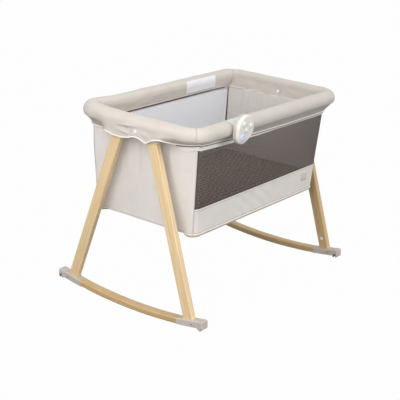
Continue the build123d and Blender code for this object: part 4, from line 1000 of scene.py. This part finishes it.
around = [stations(facing, 40, WALL_CORNER_COLUMNS) for facing in (90, 180, 270, 360)]
ring = [np.concatenate([where[part][:-1] for where in around]) for part in (0, 1)]
base_points = tucked(loop(ring, *np.transpose(BASE_SIZES)[:, :, None]))
cloth("base_cover_cloth", base_points, [base_cloth], "wall_cloth", BASE_THICK, "stretched",
      "base_frame", "base_cover", wrap=True)
tube("bottom_piping_cloth", tucked(loop(ring, *RIM)), BOTTOM_PIPING, piping_cloth,
     "bottom_piping")


# Soothing unit's keys: place on the unit's face, radius, rise and paint
KEYS = {
    "soother_main_key": (-0.244, 0.628, 0.0125, 0.0022, main_key_abs),
    "soother_light_key": (-0.240, 0.672, 0.0085, 0.0030, key_abs),
    "soother_melody_key": (-0.203, 0.660, 0.0085, 0.0030, key_abs),
    "soother_volume_key": (-0.226, 0.649, 0.0070, 0.0026, key_abs),
}
KEY_PROUD = 0.0006
KEY_SKIRT = (-0.0006, -0.0020, -0.0036)
COLLAR_GAP, COLLAR_OUTER = 0.0005, 0.0032
COLLAR_SUNK, COLLAR_RISE = 0.0004, 0.0014
UNIT_FACE_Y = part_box("soother_front")[0][1]
round_turn = np.linspace(0, 2 * np.pi, 40, endpoint=False)


def dome(node, x, z, radius, rise, paint):
    """A key on the unit's face: height falls off from the middle as an ellipse, then a short
    skirt."""
    low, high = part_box(node)
    face = high[1] if abs(high[1]) > abs(low[1]) else low[1]
    fall = np.linspace(0, np.pi / 2, 14)
    share = np.concatenate([np.sin(fall), np.ones(len(KEY_SKIRT))])[:, None]
    depth = np.concatenate([rise * np.cos(fall), KEY_SKIRT])[:, None]
    points = np.stack(np.broadcast_arrays(
        x - radius * share * np.cos(round_turn), face + KEY_PROUD - depth,
        z + radius * share * np.sin(round_turn),
    ), axis=-1)
    piece = surface(node + "_dome", points, [paint], node, wrap_columns=True, weld=True)
    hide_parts(node)


def collar(node, x, z, inner, outer, paint):
    """A moulded ring on the unit's face round a key: half an ellipse turned about its axis."""
    arc = np.linspace(0, np.pi, 9)[:, None]
    middle, half = (inner + outer) / 2, (outer - inner) / 2
    radius = middle - half * np.cos(arc)
    out = UNIT_FACE_Y + COLLAR_SUNK - COLLAR_RISE * np.sin(arc)
    points = np.stack(np.broadcast_arrays(
        x - radius * np.cos(round_turn), out, z + radius * np.sin(round_turn),
    ), axis=-1)
    piece = surface(node + "_collar", points, [paint], "soother", wrap_columns=True)


for node, (x, z, radius, rise, paint) in KEYS.items():
    dome(node, x, z, radius, rise, paint)
    collar(node, x, z, radius + COLLAR_GAP, radius + COLLAR_OUTER, paint)


# Mattress

PAD_VOXEL = 0.006
PAD_START = (0.995, 0.990, 0.97)
PAD_PRESSURE, PAD_FRAMES = 4, 20
PAD_MOST_MOVE = 0.006
PAD_TOP_Z = (0.352, 0.362)
GROOVE_DEPTH, GROOVE_WIDTH = 0.0022, 0.5
PAD_FLOOR_Z = 0.3181
PAD_MOST = (0.3715, 0.2060)


def point_places(mesh):
    """A mesh's points as an array."""
    places = np.zeros(len(mesh.vertices) * 3)
    mesh.vertices.foreach_get("co", places)
    return places.reshape(-1, 3)


def mattress():
    """The quilted pad: the CAD form remeshed at 6 mm and blown up by a cloth simulation, each
    point's move capped, then drawn in along the wavy quilting lines on its top."""
    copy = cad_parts["mattress_quilt"].data.copy()
    merge_doubles(copy, 1e-5)
    copy.materials.clear()
    copy.materials.append(quilt_jersey)
    pad = bpy.data.objects.new("mattress_pad", copy)
    bpy.context.scene.collection.objects.link(pad)
    remesh = pad.modifiers.new("remesh", "REMESH")
    remesh.mode = "VOXEL"
    remesh.voxel_size = PAD_VOXEL
    made = bpy.data.meshes.new_from_object(pad.evaluated_get(bpy.context.evaluated_depsgraph_get()))
    pad.modifiers.clear()
    pad.data = made
    rest = point_places(made)
    middle = (rest.max(axis=0) + rest.min(axis=0)) / 2
    rest = middle + (rest - middle) * PAD_START
    made.vertices.foreach_set("co", rest.reshape(-1))
    moved = rest
    blow = pad.modifiers.new("cloth", "CLOTH")
    blow.settings.use_pressure = True
    blow.settings.uniform_pressure_force = PAD_PRESSURE
    blow.settings.effector_weights.gravity = 0
    blow.point_cache.frame_end = PAD_FRAMES
    for step in range(1, PAD_FRAMES + 1):
        bpy.context.scene.frame_set(step)
    moved = point_places(pad.evaluated_get(bpy.context.evaluated_depsgraph_get()).to_mesh())
    pad.modifiers.clear()
    bpy.context.scene.frame_set(1)
    move = moved - rest
    length = np.maximum(np.linalg.norm(move, axis=1, keepdims=True), 1e-9)
    moved = rest + move * np.minimum(1, PAD_MOST_MOVE / length)
    top = ease(moved[:, 2], *PAD_TOP_Z)
    groove = 0
    for along, across, pitch in ((0, 1, QUILT_PITCH[0]), (1, 0, QUILT_PITCH[1])):
        line = moved[:, along] + QUILT_SWAY * np.sin(moved[:, across] * 2 * np.pi / QUILT_WAVE)
        ridge = np.sin(line * np.pi / pitch) / GROOVE_WIDTH
        groove = np.maximum(groove, np.exp(-(ridge ** 2)))
    moved[:, 2] -= GROOVE_DEPTH * groove * top
    moved[:, 2] = np.clip(moved[:, 2], PAD_FLOOR_Z, None)
    for axis, most in enumerate(PAD_MOST):
        moved[:, axis] = np.clip(moved[:, axis], -most, most)
    made.vertices.foreach_set("co", moved.reshape(-1))
    made.polygons.foreach_set("use_smooth", np.ones(len(made.polygons), bool))
    made.update()
    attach(pad, "mattress")
    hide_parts("mattress_quilt")
    subdivide(pad)


mattress()


# Floor, sky and lamps

FLOOR_GLOW, SKY_LIGHT = 0.985, 0.80
FLOOR_HALF = 30
LAMP_TARGET = Vector((0, 0, 0.5))
LAMPS = (
    ("near_lamp", "AREA", 20.0, 1.2, (-1.9, -0.5, 1.3)),
    ("front_lamp", "SUN", 0.90, 0.6, (0.25, -1.0, 0.95)),
)


def lamp(name, kind, energy, spread, place):
    """A soft lamp at a place, aimed at the basket; a sun's spread is its angle, an area lamp's
    its width."""
    made = bpy.data.lights.new(name, kind)
    made.energy = energy
    if kind == "SUN":
        made.angle = spread
    else:
        made.size = spread
    stand = bpy.data.objects.new(name, made)
    stand.rotation_mode = "QUATERNION"
    stand.rotation_quaternion = (Vector(place) - LAMP_TARGET).to_track_quat("Z", "Y")
    stand.location = place
    bpy.context.scene.collection.objects.link(stand)


def white_seen(tree):
    """Which rays find the surroundings white: the camera's and those through glass."""
    path = add(tree, "LightPath")
    rays = {0: path.outputs["Is Camera Ray"], 1: path.outputs["Is Transmission Ray"]}
    return add(tree, "Math", rays, operation="MAXIMUM").outputs[0]


def studio():
    """A floor and sky that camera and see-through rays find white, and every other ray dimmer;
    a wide lamp beyond the near end and a weak sun from the front side."""
    made, tree = blank("white_floor")
    matt = add(tree, "BsdfDiffuse", {"Color": colour("7A7A7A")})
    glow = add(tree, "Emission", {"Color": (1, 1, 1, 1), "Strength": 1.0})
    share = add(tree, "Math", {0: white_seen(tree), 1: FLOOR_GLOW}, operation="MULTIPLY")
    mix = add(tree, "MixShader", {0: share.outputs[0], 1: matt.outputs[0], 2: glow.outputs[0]})
    add(tree, "OutputMaterial", {"Surface": mix.outputs[0]})
    floor = bpy.data.meshes.new("studio_floor")
    sides = ((-1, -1), (1, -1), (1, 1), (-1, 1))
    floor.from_pydata([(FLOOR_HALF * x, FLOOR_HALF * y, 0) for x, y in sides], [], [(0, 1, 2, 3)])
    floor.materials.append(made)
    stage = bpy.data.objects.new("studio_floor", floor)
    bpy.context.scene.collection.objects.link(stage)

    sky = bpy.data.worlds.new("studio_sky")
    sky.use_nodes = True
    tree = sky.node_tree
    tree.nodes.clear()
    strength = add(tree, "MapRange", {"Value": white_seen(tree), "To Min": SKY_LIGHT, "To Max": 1.0})
    back = add(tree, "Background", {"Color": (1, 1, 1, 1), "Strength": strength.outputs[0]})
    add(tree, "OutputWorld", {"Surface": back.outputs[0]})
    bpy.context.scene.world = sky

    for settings in LAMPS:
        lamp(*settings)


studio()
bpy.context.scene.view_settings.view_transform = "Standard"
